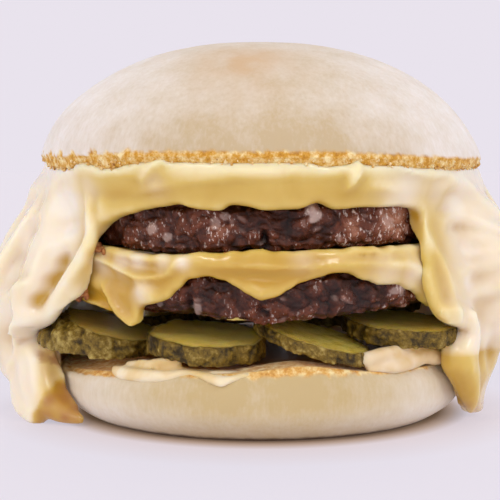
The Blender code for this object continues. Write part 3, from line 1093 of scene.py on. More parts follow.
@dataclass
class BunBottom:
    """The lower bun: a full rounded wall, a flat foot and a toasted cut face."""

    radius: float
    height: float
    foot_radius: float = 45.6
    fullest: float = 8.5
    rim_inset: float = 2.7
    rim_power: float = 3.2
    foot_power: float = 2.2
    segments: int = 460
    swell: float = 0.35
    crumb_rise: float = 0.3
    # Where the toasted face shows furthest down the wall: (angle, width, share).
    toast_places: Triples = ((-54.0, 22.0, 0.95), (8.0, 15.0, 0.9))
    # Where the rim rises, where it sinks and where the wall swells: (angle, width, amount).
    rises: Triples = ((0.0, 30.0, 1.2), (12.0, 14.0, 1.9))
    sinks: Triples = ((-78.0, 27.0, 2.6),)
    swellings: Triples = ((-76.0, 18.0, 1.3),)

    def wall_radius(self, height: Array) -> Array:
        """Return the wall's radius at some heights.

        Args:
            height: Heights above the foot.

        Returns:
            Radii in millimetres.
        """
        upper = np.clip((height - self.fullest) / (self.height - self.fullest), 0.0, 1.0)
        lower = np.clip((self.fullest - height) / self.fullest, 0.0, 1.0)
        drawn = self.rim_inset * upper**self.rim_power
        return self.radius - drawn - (self.radius - self.foot_radius) * lower**self.foot_power

    def form(self) -> Form:
        """Return the bun's plain form.

        Returns:
            Its points and faces.
        """
        rim = float(self.wall_radius(np.array(self.height)))
        face = np.concatenate((np.linspace(8.0, 32.0, 5), np.arange(33.0, rim - 0.2, 0.7)))
        levels = self.height * 0.5 * (1.0 + np.cos(np.linspace(0.02, math.pi, 52)))
        rows = [(reach, self.height) for reach in face]
        rows += list(zip(self.wall_radius(levels), levels))
        rows += [(reach, 0.0) for reach in (40.0, 25.0, 10.0)]
        return stacked(even_angles(self.segments), rows, self.height, 0.0)

    def build(self) -> None:
        """Build the lower bun."""
        mesh = mesh_of("lower_bun", self.form())
        points, normals = points_of(mesh), normals_of(mesh)
        x, _, z = points.T
        angle, reach = polar(points)
        free = ease(0.4, 3.0, z)
        ragged = 0.45 * soft_noise(points, 2.6, 5) + 0.3 * soft_noise(points, 0.9, 6)
        shown = humps(self.toast_places, angle)
        cut = ease(self.height - 0.75, self.height - 0.15, z + ragged + shown)
        rise = self.swell * layered_noise(points, 17.0, 11) * free * (1.0 - cut)
        rise += 0.06 * layered_noise(points, 2.0, 12) * free
        near, _, _ = clumps(points, 1.6, 21)
        rise += self.crumb_rise * (0.5 - near) * cut * ease(30.0, 44.0, reach)
        rise += humps(self.swellings, angle) * ease(9.0, 14.0, z) * (1.0 - cut)
        lift = humps(self.rises, angle) * ease(28.0, 42.0, reach)
        lift -= humps(self.sinks, angle) * ease(38.0, 50.5, reach)
        points = points + normals * rise[:, None]
        points[:, 2] += lift * ease(self.height - 5.0, self.height, z)
        move_points(mesh, points)
        paint(mesh, "toast", cut)
        # Darker brown along the foot: partly a baked base, partly painted contact shadow on the bun
        # where it meets the table.
        paint(mesh, "blush", ease(1.2, 0.2, z + 0.4 * ragged))
        # Painted light: paler towards the left and right edges and low down, where the bun catches
        # side light and light from the table, over its flour.
        paint(mesh, "dust", -0.1 + 0.82 * ease(0.15, 0.95, np.abs(x) / self.radius)
              + 0.5 * ease(11.0, 0.0, z))
        add_piece("lower_bun", mesh, BareCrust(), Slot.BUN_BOTTOM, ("bun_bottom",))


@dataclass
class BunTop:
    """The top bun: a floured dome over a ragged, toasted cut edge."""

    radius: float
    crown: float
    skin_height: float = 66.0
    skin_lean: float = 0.007
    cut_height: float = 65.0
    cut_lean: float = 0.020
    side_power: float = 1.78
    top_power: float = 0.455
    segments: int = 600
    # How far the dome stands in at half its height, and leans left at its crown.
    shoulder_inset: float = 1.1
    crown_lean: float = 1.3
    # Down the toasted band and on to the flat cut: (inset, share of the way).
    band_steps: Knots = ((0.2, 0.12), (0.3, 0.3), (0.4, 0.5), (0.5, 0.7), (0.7, 0.88), (1.2, 1.0))
    cut_steps: Knots = ((2.0, 0.2), (3.0, 0.6), (4.2, 1.0))
    # Height of the toasted crumb that shows under the skin round the bun.
    toast_band: Knots = (
        (-180, 1.6), (-150, 2.4), (-120, 1.2), (-95, 2.0), (-76, 0.9), (-68, 2.9), (-60, 3.0),
        (-54, 3.2), (-50.5, 1.6), (-46, 2.0), (-41, 2.9), (-37, 2.8), (-33, 1.9), (-29, 1.4),
        (-20, 1.3), (-8, 1.5), (4, 1.3), (11, 1.4), (14.5, 2.2), (17, 1.9), (21, 1.4), (27, 1.8),
        (34, 1.9), (40, 2.4), (47, 2.3), (54, 2.8), (66, 2.2), (85, 1.6), (120, 2.2), (150, 1.2),
    )

    def skin(self, angle: Array, radius: Array) -> Array:
        """Return the height of the skin's lower edge."""
        return self.skin_height - self.skin_lean * radius * np.sin(np.radians(angle))

    def cut(self, angle: Array, radius: Array) -> Array:
        """Return the height of the flat cut face."""
        return self.cut_height - self.cut_lean * radius * np.sin(np.radians(angle))

    def underside(self, angle: Array) -> Array:
        """Return the height of the lowest crumb at the rim."""
        return self.skin(angle, self.radius) - around(self.toast_band, angle)

    def form(self) -> Form:
        """Return the plain form.

        Returns:
            Its points and faces.
        """
        angles = even_angles(self.segments)
        share = np.sin(np.linspace(0.5 * math.pi, 0.0, 76))[1:, None] ** 1.15
        radius = self.radius * (1.0 - share**self.side_power) ** self.top_power
        skin = self.skin(angles, radius)
        radius = radius - 4.0 * self.shoulder_inset * share * (1.0 - share)
        rows = [(radius, skin + share * (self.crown - skin))]
        edge = self.skin(angles, self.radius)
        band = edge - self.underside(angles)
        for inset, down in self.band_steps:
            rows.append((self.radius - inset, edge - band * down))
        for inset, blend in self.cut_steps:
            level = self.cut(angles, self.radius - inset)
            rows.append((self.radius - inset, edge - band + (level - edge + band) * blend))
        rows += [(reach, self.cut(angles, reach)) for reach in (46.0, 30.0, 14.0)]
        return stacked(angles, rows, self.crown, self.cut_height)

    def build(self) -> None:
        """Build the top bun."""
        mesh = mesh_of("top_bun", self.form())
        points, normals = points_of(mesh), normals_of(mesh)
        x, y, z = points.T
        angle, reach = polar(points)
        torn = 0.35 + 0.65 * ease(-22.0, -36.0, angle) * ease(-120.0, -80.0, angle)
        fibres = points * np.array([1.0, 1.0, 0.4])
        ragged = torn * (1.1 * soft_noise(fibres, 1.0, 31) + 0.7 * soft_noise(points, 3.0, 32))
        # The skin is browned a little way up from its edge, most at the front.
        browned = 0.5 + bell(angle, 0.0, 42.0, 4)
        below = self.skin(angle, reach) + browned + ragged - z
        toast = ease(-0.3, 0.5, below) * ease(30.0, 50.0, reach)
        rise = 0.45 * soft_noise(points, 36.0, 41) + 0.22 * soft_noise(points, 14.0, 42)
        rise += 0.07 * layered_noise(points, 2.6, 43)
        near, _, _ = clumps(points, 1.1, 44)
        rise *= ease(64.0, 74.0, z)
        open_crumb = toast * ease(0.3, 1.0, torn)
        rise += (0.5 * (0.5 - near) + 0.35 * soft_noise(points, 2.4, 45)) * open_crumb
        rise -= 0.1 * toast
        points = points + normals * rise[:, None]
        up = np.clip((z - self.skin_height) / (self.crown - self.skin_height), 0.0, 1.0)
        points[:, 0] -= self.crown_lean * up
        move_points(mesh, points)
        paint(mesh, "toast", toast)
        crown = np.exp(-((x + 3.0) ** 2 / 130.0 + (y + 36.0) ** 2 / 120.0))
        patchy = 1.0 + 0.9 * layered_noise(points, 5.0, 46)
        paint(mesh, "blush", np.clip(crown * 0.6 * patchy, 0.0, 1.0))
        # Painted light: paler towards the left and right edges and on the crown, where side and top
        # light fall, over its flour.
        dust = -0.12 + 0.87 * ease(0.15, 0.95, np.abs(x) / self.radius)
        dust += 0.36 * ease(66.0, 82.0, z) * ease(0.95, 0.3, np.abs(x) / self.radius)
        paint(mesh, "dust", dust)
        add_piece("top_bun", mesh, FlouredCrust(), Slot.BUN_TOP, ("bun_top",))


@dataclass
class Patty:
    """A seared patty of coarse minced beef."""

    node: str
    bottom: float
    top: float
    edge: Knots
    seed: int
    phase: float
    # Lumps of fat that stand out, and patches painted lighter, painted highlights where the wet meat
    # glistens.
    fat_pieces: tuple[Spot, ...]
    cracks: tuple[Fold, ...]
    bright_spots: tuple[Spot, ...] = ()
    radius: float = 49.6
    roughness: float = 0.7
    # Width of the seams between the grains of meat, in widths of a grain.
    seam: float = 0.12
    segments: int = 680
    # The wall from its foot to its top: (share of its height, inset).
    wall: Knots = (
        (0.0, 1.7), (0.12, 0.6), (0.32, 0.1), (0.55, 0.0), (0.78, 0.4), (0.93, 1.8), (1.0, 4.0),
    )
    # Waves round the wall: (how many, lean for each mm of height, share).
    waves: Triples = ((5, 0.11, 0.35), (11, 0.31, 0.35), (19, 0.47, 0.30))

    def lumps(self, angle: Array, height: Array) -> Array:
        """Return the wall's broad unevenness, from about -1 to 1."""
        return sum(share * np.sin(count * np.radians(angle) + lean * height + self.phase * (k + 1.7))
                   for k, (count, lean, share) in enumerate(self.waves))

    def form(self) -> Form:
        """Return the plain form.

        Returns:
            Its points and faces.
        """
        angles = even_angles(self.segments)
        low = around(self.edge, angles)
        rows = [(reach, self.top) for reach in (15.0, 28.0, 38.0, 43.0)]
        for share in np.linspace(1.0, 0.0, 46):
            level = low + (self.top - low) * share
            inset = along(self.wall, share)
            rows.append((self.radius - inset + self.roughness * self.lumps(angles, level), level))
        for reach, blend in ((46.0, 0.85), (44.0, 0.5), (40.0, 0.0), (28.0, 0.0), (15.0, 0.0)):
            rows.append((reach, self.bottom + (low - self.bottom) * blend))
        return stacked(angles, rows, self.top, self.bottom)

    def build(self) -> None:
        """Build the patty."""
        name = self.node + "_beef"
        mesh = mesh_of(name, self.form())
        points, normals = points_of(mesh), normals_of(mesh)
        z = points[:, 2]
        angle, reach = polar(points)
        seed = self.seed
        bent = points + 1.6 * np.stack([soft_noise(points, 3.2, seed + k) for k in range(3)], -1)
        near, second, owner = clumps(bent, 4.6, seed + 10)
        small, small_second, small_owner = clumps(bent, 1.9, seed + 20)
        rise = (0.5 - near) - 0.3 * bell(second, near, self.seam)
        rise += 0.4 * (0.5 - small) - 0.1 * bell(small_second, small, self.seam)
        rise += 0.4 * layered_noise(points, 7.0, seed + 29)
        rise += 0.14 * soft_noise(points, 1.0, seed + 30) + 0.06 * soft_noise(points, 0.55, seed + 31)
        fat = np.zeros(len(points))
        scale = math.radians(self.radius)
        for spot in self.fat_pieces:
            share = spot.fade(angle, z, scale, 1.5)
            rise += spot.strength * share
            torn = share * (1.0 + 1.4 * soft_noise(points, 1.5, seed + 33))
            fat = np.maximum(fat, ease(0.35, 0.75, torn) * (0.3 + 0.42 * spot.strength))
        for crack in self.cracks:
            rise += crack.over(angle, z, self.radius)
        wall = ease(34.0, 44.0, reach)
        move_points(mesh, points + normals * (rise * wall)[:, None])
        # Painted shade: raised grains painted lighter and the seams between them darker, over a tone
        # that differs at random from clump to clump.
        tone = 0.04 + 0.14 * (owner - 0.5) + 0.1 * (small_owner - 0.5) + 0.18 * rise
        gristle = np.where(small_owner > 0.95, 0.2, 0.0) * ease(0.6, 0.3, small)
        # Painted highlights: patches painted lighter where the wet meat glistens, which also gather
        # more painted glints.
        for spot in self.bright_spots:
            tone += spot.strength * spot.fade(angle, z, scale)
        paint(mesh, "tone", tone)
        paint(mesh, "fat", np.clip(np.maximum(fat, gristle), 0.0, 1.0))
        add_piece(name, mesh, SearedBeef(), Slot.PATTY, (self.node,))


@dataclass
class CheeseBetween:
    """The cheese between the patties: a sheet with a lip that hangs in soft drips."""

    seat: float
    cover: float
    patty_edge: Knots
    radius: float = 52.7
    patty_radius: float = 49.6
    grain: float = 0.7
    segments: int = 600
    # How far the rim is rounded inwards and down, and half the thickness of the lip's edge.
    rim_in: float = 1.4
    rim_down: float = 1.7
    lip_round: float = 1.1
    # Height of the lip's lower edge round the stack.
    lip: Knots = (
        (-180, 34.5), (-165, 38.4), (-148, 33.0), (-128, 38.6), (-105, 36.0), (-68, 33.5),
        (-57, 30.7), (-51, 30.0), (-44, 28.8), (-39, 27.4), (-35.6, 26.6), (-34.2, 27.2),
        (-33.4, 31.2), (-30.5, 31.9), (-27.2, 32.6), (-25.3, 33.3), (-22.4, 35.6), (-19, 38.1),
        (-14.5, 38.9), (-10, 37.9), (-6.9, 36.5), (-4.2, 35.1), (-0.5, 33.6), (3.5, 34.4),
        (6.7, 35.9), (9.4, 37.4), (14, 38.4), (18, 39.4), (22, 39.4), (28, 37.4), (32, 36.3),
        (38, 36.0), (43.6, 34.3), (46.4, 33.2), (49.6, 31.0), (53.0, 29.8), (56.5, 30.6),
        (61, 32.2), (74, 34.0), (85, 37.5), (110, 34.5), (130, 38.6), (152, 36.8),
    )
    folds: tuple[Fold, ...] = (
        # The bright crease at the left, the pocket above it and the fold below it.
        Fold(((-54, 42.6), (-47, 41.8), (-43, 41.0), (-37, 39.2), (-33, 38.2), (-27, 38.6),
              (-23, 39.8)), 0.7, 1.5),
        Fold(((-50, 43.8), (-41, 43.0), (-34, 41.6), (-27, 41.0)), 1.4, -1.2),
        Fold(((-52, 39.6), (-45, 38.4), (-38, 36.6), (-33, 35.8)), 1.5, -1.3),
        Fold(((-22, 44.0), (-22.5, 41.6), (-25, 39.4)), 0.9, 1.2),
        Fold(((-36, 36.4), (-31, 35.2), (-29, 33.6), (-33, 32.4)), 1.7, 1.2),
        # The run that hangs over the slice, and the flat tongue left of it.
        Fold(((-47, 36.6), (-44, 34.0), (-41, 31.4), (-38, 29.0), (-35.6, 27.6)), 0.8, 1.5),
        Fold(((-55, 34.0), (-49, 32.2), (-44.5, 29.8), (-40.5, 28.0)), 1.3, -2.0),
        Fold(((-58, 31.8), (-52, 31.2), (-46, 30.2)), 1.2, 0.6),
        # The long soft ridge across the front, with the dull hollow under it.
        Fold(((-19, 41.8), (-6, 41.4), (9, 41.2), (25, 41.6), (38, 40.8)), 1.1, 0.9),
        Fold(((-18, 39.6), (-6, 39.2), (4, 38.8), (12, 40.0)), 1.3, -0.55),
        Fold(((-4, 37.6), (-0.5, 35.2), (3, 36.8)), 1.6, 0.5),
        # The bright roll that turns down at the right.
        Fold(((33, 41.4), (40, 40.8), (45.5, 38.6), (49.5, 35.0), (52, 31.0)), 1.9, 1.5),
        Fold(((20, 44.2), (30, 43.6), (40, 43.2)), 0.9, -0.5),
    )
    # Painted highlights: where the cheese is painted near white, in glossy spots that catch the light.
    milky_spots: tuple[Spot, ...] = (
        Spot(-34.0, 42.6, 2.6, 0.7), Spot(-20.5, 42.2, 1.8, 0.8), Spot(-32.0, 34.6, 2.6, 0.6),
        Spot(43.0, 39.0, 4.5, 0.55), Spot(34.0, 38.6, 5.0, 0.4), Spot(-47.0, 40.6, 3.5, 0.5),
        Spot(-39.0, 41.4, 3.0, 0.5), Spot(-26.0, 42.6, 2.2, 0.5), Spot(10.0, 43.2, 3.0, 0.25),
    )
    # The tip of the run at the left, and a fleck that clings to the lower patty.
    strands: tuple[Strand, ...] = (
        Strand(((-42.5, 53.2, 31.8, 0.9), (-40.0, 53.3, 29.9, 1.0), (-37.6, 53.0, 28.2, 1.0),
                (-35.8, 52.6, 27.0, 0.9))),
        Strand(((-10.0, 48.1, 28.8, 0.5), (-7.2, 48.6, 28.8, 0.75), (-4.6, 48.2, 28.8, 0.5))),
    )

    def form(self) -> Form:
        """Return the plain form of the cheese.

        Returns:
            Its points and faces.
        """
        angles = even_angles(self.segments)
        edge = around(self.patty_edge, angles)
        rim = turned_point(angles, self.radius, 0.0)
        low = around(self.lip, angles) + 0.2 * soft_noise(rim, 3.5, 51)
        top = edge + 0.1 + 0.45 * soft_noise(rim, 2.4, 53) + 0.3 * soft_noise(rim, 7.0, 54)
        rows = [(15.0, self.cover), (30.0, self.cover),
                (self.patty_radius - 5.0, np.minimum(self.cover, edge - 0.4)),
                (self.patty_radius - 1.6, edge - 0.5)]
        start, end = top - self.rim_down, low + self.lip_round
        for turn in np.linspace(0.6 * math.pi, 0.0, 10):
            rows.append((self.radius - self.rim_in + self.rim_in * math.cos(turn),
                         start + self.rim_down * math.sin(turn)))
        for share in np.linspace(1.0, 0.0, 38)[1:]:
            level = end + (start - low - self.lip_round) * share
            rows.append((self.radius + self.relief(angles, level), level))
        inside = self.patty_radius - 0.2
        rows += round_turn(rows[-1][0], inside, end, self.lip_round, 8)
        for share in np.linspace(0.0, 1.0, 7)[1:]:
            rows.append((inside, end + (self.seat - 0.6 - low - self.lip_round) * share))
        rows += [(reach, self.seat) for reach in (self.patty_radius - 2.0, 30.0, 15.0)]
        return stacked(angles, rows, self.cover, self.seat)

    def relief(self, angle: Array, height: Array) -> Array:
        """Return how far the folds lift the lip.

        Args:
            angle: Angles round the stack.
            height: Heights.

        Returns:
            Millimetres outwards.
        """
        angle, height = np.broadcast_arrays(angle, height)
        points = turned_point(angle, self.radius, height)
        rise = 0.35 * soft_noise(points * np.array([1.0, 1.0, 2.2]), 11.0, 52)
        for fold in self.folds:
            rise = rise + fold.over(angle, height, self.radius)
        return rise

    def build(self) -> None:
        """Build the cheese."""
        mesh = fused("cheese_between", [self.form(), *strand_forms(self.strands)], self.grain, 3)
        points, normals = points_of(mesh), normals_of(mesh)
        z = points[:, 2]
        angle, _ = polar(points)
        # Painted shade: deeper yellow in hollows, on faces turned down, at the front and on the tongue
        # at the left; a little paler on the bright roll at the right.
        down = np.clip(-normals[:, 2], 0.0, 1.0)
        hollow = 0.65 + 0.5 * hollowness(mesh, 22) + 0.3 * down
        hollow += 0.12 * bell(angle, 0.0, 24.0, 4)
        hollow -= 0.14 * ease(24.0, 46.0, angle) * ease(58.0, 50.0, angle)
        hollow += 0.22 * ease(-34.0, -40.0, angle) * ease(38.0, 33.0, z)
        paint(mesh, "hollow", np.clip(hollow, 0.0, 1.1))
        # Painted highlights in glossy spots.
        milky = 0.0 * angle
        for spot in self.milky_spots:
            milky = np.maximum(milky, spot.strength * spot.fade(angle, z, 0.92))
        paint(mesh, "milky", milky)
        add_piece("cheese_between", mesh, MoltenCheese(), Slot.CHEESE, ("cheese_lower",))


# A turn about all three axes, so that no pattern lines up with the burger's own axes.
ASKEW = np.array([[2.0, -1.0, 2.0], [2.0, 2.0, -1.0], [-1.0, 2.0, 2.0]]) / 3.0

# Radius of the curtain on each side by height.
SIDE_SWELL: dict[Side, Knots] = {
    Side.LEFT: ((0, 63.5), (6, 64.5), (12, 68.0), (24, 71.0), (32, 70.5), (43, 66.0), (50, 62.5),
                (57, 60.5), (64, 56.6)),
    Side.RIGHT: ((0, 57.5), (5, 59.0), (16, 62.0), (24, 66.0), (36, 69.0), (46, 66.5),
                 (52, 62.5), (58, 58.5), (64, 56.6)),
}


@dataclass
class CheeseOver:
    """The cheese under the top bun, which runs down both sides of the stack."""

    seat: float
    bun: BunTop
    pickle_reach: Callable[[Array], Array]
    patty_radius: float = 49.6
    lower_cheese_radius: float = 52.7
    bun_radius: float = 53.0
    thinnest: float = 1.8
    # How far the upper edge is rounded, and half the thickness of the lower edge.
    top_round: float = 0.9
    lip_round: float = 1.3
    grain: float = 0.8
    segments: int = 640
    # Height of the lower edge round the stack.
    lip: Knots = (
        (-180, 50.0), (-150, 51.0), (-141, 47.0), (-134, 30.0), (-127, 14.0), (-118, 6.0),
        (-112, 3.5), (-97, 3.0), (-87, 9.5), (-81, 0.3), (-75.5, 0.3), (-73, 12.0), (-69.5, 21.0),
        (-64, 24.4), (-59, 26.4), (-55.2, 28.8), (-52.4, 32.0), (-50, 37.0), (-48.3, 43.0),
        (-47.2, 46.8), (-44.8, 50.0), (-42.6, 50.9), (-39.5, 51.9), (-36, 52.8), (-31, 54.0),
        (-27, 54.8), (-21, 55.5), (-17.4, 54.3), (-15, 54.0), (-10.5, 54.0), (-8, 55.3),
        (-4.5, 54.9), (1, 54.2), (9, 54.4), (13.2, 55.8), (17.8, 54.3), (24.5, 54.6), (36, 54.4),
        (42, 54.2), (43.8, 53.0), (44.1, 47.0), (44.9, 41.0), (46.0, 36.0), (46.5, 31.5),
        (47.4, 28.2), (50.4, 26.2), (55.6, 25.6), (57.8, 20.5), (60, 13.0), (64, 6.0), (68, 3.0),
        (73, 0.8), (80, 0.8), (85, 3.2), (91, 6.8), (97, 7.4), (104, 4.6), (110, 4.4),
        (117, 7.6), (127, 14.0), (134, 30.0), (141, 46.0), (150, 50.0), (166, 48.0),
    )
    # Drips over the open back: (angle, half width, height of the tip).
    back_drips: Triples = (
        (-171, 10, 35.0), (-150, 16, 8.5), (140, 9, 38.0), (160, 14, 9.5), (177, 8, 41.0),
    )
    # Radius at the front and the back by height.
    front_swell: Knots = (
        (0, 57.5), (14, 58.0), (30, 56.4), (50, 54.6), (56, 54.8), (60, 56.0), (63, 57.1),
        (65, 57.3),
    )
    floor_spread: float = 2.0
    fold_middle: float = 35.0
    # Broad folds down the curtains: (angle, half width, depth, lean for each mm of height).
    curtain_folds: Quads = (
        (-114, 5, 1.8, 0.0), (-106, 4, -2.4, 0.0), (-97, 6, 2.0, 0.05), (-87, 4, -3.0, 0.05),
        (-78, 6, 1.8, 0.1), (-71, 4, -2.4, 0.15), (-65, 4, 1.8, 0.1),
        (60, 4, -1.6, -0.2), (71, 6, 2.0, -0.1), (83, 4, -2.8, 0.0),
        (93, 6, 2.2, 0.0), (103, 4, -2.4, 0.0), (112, 5, 1.8, 0.0),
    )
    folds: tuple[Fold, ...] = (
        # Left of the opening: a deep pocket beside the bright ridge, and soft creases.
        Fold(((-55.0, 44.5), (-56.6, 40.5), (-58.2, 36.0), (-60, 31.5), (-62, 28.5)), 1.7, -3.0),
        Fold(((-60, 61), (-58, 56.5), (-56, 52.0), (-54, 47.5)), 3.4, -1.5),
        Fold(((-60.5, 46.0), (-61.5, 40.0), (-62.5, 34.5)), 1.3, 1.2),
        Fold(((-44.0, 57.0), (-43.5, 53.0), (-44.5, 50.0)), 2.2, 0.9),
        Fold(((-61, 37.6), (-66, 37.0), (-71, 34.6), (-76, 30.0)), 0.9, -1.2),
        Fold(((-61, 35.4), (-66, 34.6), (-71, 31.8), (-75, 27.0)), 1.1, 0.8),
        Fold(((-66, 29), (-70, 24.5), (-73, 20), (-70, 15)), 2.0, -2.6),
        Fold(((-64, 56), (-69, 50), (-73, 43), (-76, 36)), 1.6, 1.5),
        Fold(((-72, 58), (-77, 51), (-80, 44)), 1.8, -1.5),
        Fold(((-63, 20), (-64.5, 13), (-66, 5)), 1.4, 0.9),
        # Under the bun, at the front.
        Fold(((-33, 57.4), (-27, 59.2), (-20, 60.4), (-13, 60.9), (-7, 60.6)), 0.8, 0.8),
        Fold(((-30, 61.6), (-20, 62.4), (-8, 62.2), (6, 61.8)), 1.5, 0.45),
        Fold(((-24, 57.6), (-12, 57.0), (2, 56.8), (16, 57.0), (30, 57.4)), 2.0, 0.6),
        Fold(((24, 60.2), (30, 59.2), (37, 58.0)), 1.4, 0.9),
        Fold(((38, 62.4), (44, 61.4), (50, 61.8), (58, 60.4)), 0.8, 0.7),
        Fold(((34, 63.4), (42, 62.9), (50, 63.0)), 0.7, -0.6),
        # Right of the opening: dimples, creases that run outwards and flared ridges.
        Fold(((49, 52.6), (52, 53.8), (56, 53.6)), 1.1, -0.7),
        Fold(((52, 47.4), (56, 48.4), (61, 48.2), (66, 46.4), (72, 43.0)), 0.8, -0.8),
        Fold(((50, 50.4), (56, 51.4), (63, 50.6), (71, 47.0)), 1.3, 0.9),
        Fold(((56, 34.4), (60, 36.0), (64, 37.4), (70, 40.0)), 0.8, -0.8),
        Fold(((55, 43.0), (60, 42.4), (66, 43.6), (72, 46.0)), 0.8, 0.9),
        Fold(((58, 31.6), (63, 33.6), (69, 34.6)), 0.8, 0.8),
        Fold(((54, 38.0), (60, 39.4), (67, 41.4)), 1.4, 0.8),
        Fold(((62, 29.5), (66, 31.4), (73, 35.0)), 1.2, -0.8),
        Fold(((48, 58.2), (55, 60.2), (63, 59.2), (69, 54.6), (75, 48.0)), 1.5, 1.2),
        Fold(((42.5, 53.0), (45.0, 47.5), (49.0, 42.1), (51.0, 36), (52.3, 30), (53.6, 25)), 1.7, 1.3),
        Fold(((66, 26), (68, 19), (71, 12)), 1.8, -1.6),
        Fold(((78, 52), (82, 44), (84, 36), (83, 27)), 2.6, -1.2),
        Fold(((96, 56), (98, 46), (97, 34), (94, 22)), 2.2, 1.3),
        Fold(((107, 54), (105, 44), (106, 33), (108, 20)), 2.4, -1.3),
    )
    strands: tuple[Strand, ...] = (
        # The bright ridge left of the opening.
        Strand(((-49.0, 54.2, 58.0, 1.6), (-47.6, 55.0, 52.0, 1.8), (-47.0, 55.4, 47.5, 1.9),
                (-49.6, 56.4, 42.0, 2.1), (-54.2, 57.8, 35.8, 2.3), (-58.0, 59.0, 30.6, 2.5),
                (-61.6, 60.0, 27.4, 2.6), (-66.0, 61.0, 25.4, 2.4))),
        # Short runs up over the cut edge of the top bun.
        Strand(((21.9, 57.0, 65.0, 0.9), (21.8, 57.3, 63.2, 1.2), (21.0, 56.9, 61.0, 1.2),
                (20.0, 56.2, 59.2, 0.8))),
        Strand(((-29.0, 55.8, 61.5, 1.5), (-26.5, 56.8, 63.8, 1.3), (-24.0, 57.0, 65.2, 0.9),
                (-21.5, 56.8, 64.6, 0.6))),
        # Long runs down the left side, then down the right side.
        Strand(((-77.0, 56.6, 60.0, 1.2), (-79.0, 60.8, 52.5, 1.8), (-81.0, 65.2, 44.5, 2.4),
                (-83.0, 68.8, 34.0, 2.9), (-82.0, 68.4, 24.0, 2.6), (-81.0, 66.0, 17.0, 2.0))),
        Strand(((-69.0, 56.6, 59.0, 1.0), (-70.5, 60.6, 52.5, 1.5), (-72.5, 64.4, 45.5, 2.0),
                (-75.0, 68.6, 37.0, 2.4), (-76.0, 69.0, 29.0, 2.1), (-76.0, 66.0, 22.0, 1.4))),
        Strand(((84.0, 56.8, 60.0, 1.2), (85.5, 60.8, 52.5, 1.8), (86.5, 64.2, 44.5, 2.4),
                (87.0, 66.0, 36.5, 3.0), (87.0, 64.6, 27.0, 3.0), (87.0, 61.4, 18.0, 2.4))),
        Strand(((68.0, 56.6, 59.0, 1.0), (72.0, 63.4, 49.5, 1.9), (75.0, 66.6, 42.0, 2.4),
                (76.5, 65.8, 34.0, 2.4), (77.0, 62.6, 26.0, 1.8))),
        # The foot of the left curtain, which spreads along the bun, and a thin run beside it.
        Strand(((-72.5, 61.4, 20.0, 3.0), (-69.0, 60.0, 14.6, 3.8), (-67.8, 59.4, 10.0, 4.2),
                (-66.0, 58.8, 6.6, 4.0), (-63.8, 57.6, 4.4, 3.6), (-60.4, 55.4, 2.8, 2.6),
                (-57.0, 53.4, 1.8, 1.4))),
        Strand(((-69.0, 57.8, 12.5, 2.4), (-66.8, 56.6, 9.0, 2.4), (-63.4, 55.0, 6.2, 2.0),
                (-60.0, 53.6, 4.2, 1.3))),
        Strand(((-73.0, 61.6, 20.0, 3.6), (-71.4, 61.2, 14.0, 4.2), (-70.4, 61.0, 8.5, 4.4),
                (-68.0, 60.2, 4.4, 4.2))),
        Strand(((-76.0, 62.4, 20.0, 3.6), (-75.0, 62.2, 13.0, 4.4), (-74.0, 62.2, 8.0, 4.6),
                (-72.0, 62.0, 4.4, 4.4), (-67.0, 61.0, 2.4, 3.4))),
        Strand(((-70.0, 58.6, 19.5, 1.6), (-69.0, 57.0, 16.4, 1.5), (-67.4, 55.9, 13.6, 1.4),
                (-65.8, 55.2, 11.4, 1.3), (-65.0, 55.0, 9.0, 1.2))),
        # The band's lower end, which turns in under the slice of cheese beside it.
        Strand(((45.6, 54.2, 39.0, 1.4), (46.6, 54.8, 35.0, 1.8), (48.2, 55.4, 31.2, 1.9),
                (50.2, 56.2, 28.6, 1.8), (53.4, 57.6, 27.2, 1.9), (56.6, 58.2, 26.4, 2.0),
                (60.0, 58.6, 25.6, 1.9))),
        # The run that narrows to a point at the right.
        Strand(((58.0, 59.5, 27.5, 2.2), (59.6, 58.6, 22.5, 3.4), (57.8, 57.0, 17.6, 4.9),
                (59.8, 57.4, 13.5, 4.3), (62.0, 57.8, 9.2, 3.3), (64.2, 57.8, 5.6, 2.2),
                (66.2, 57.2, 2.9, 1.2))),
        # A thin thread pulled from the right of the rim.
        Strand(((33.0, 57.4, 64.2, 0.35), (37.0, 57.6, 62.9, 0.4), (42.0, 57.3, 62.6, 0.4),
                (46.0, 57.2, 63.2, 0.35))),
    )
    # Painted highlights: spots where the cheese is painted near white.
    milky_spots: tuple[Spot, ...] = (
        Spot(-58.0, 55.0, 7.0, 1.1), Spot(-55.5, 48.0, 4.5, 1.0), Spot(-49.0, 50.0, 3.0, 0.75),
        Spot(-50.0, 43.0, 2.6, 0.65), Spot(-53.4, 36.0, 2.4, 0.6), Spot(-57.0, 29.0, 3.0, 0.7),
        Spot(-48.0, 59.0, 4.0, 0.4), Spot(37.0, 58.5, 7.0, 0.7), Spot(-26.0, 60.0, 3.0, 0.25),
        Spot(58.0, 54.0, 6.0, 0.9), Spot(60.0, 44.0, 5.0, 0.9), Spot(59.0, 36.0, 4.5, 0.9),
        Spot(49.0, 59.5, 6.0, 0.5), Spot(42.0, 59.0, 5.0, 0.4),
    )
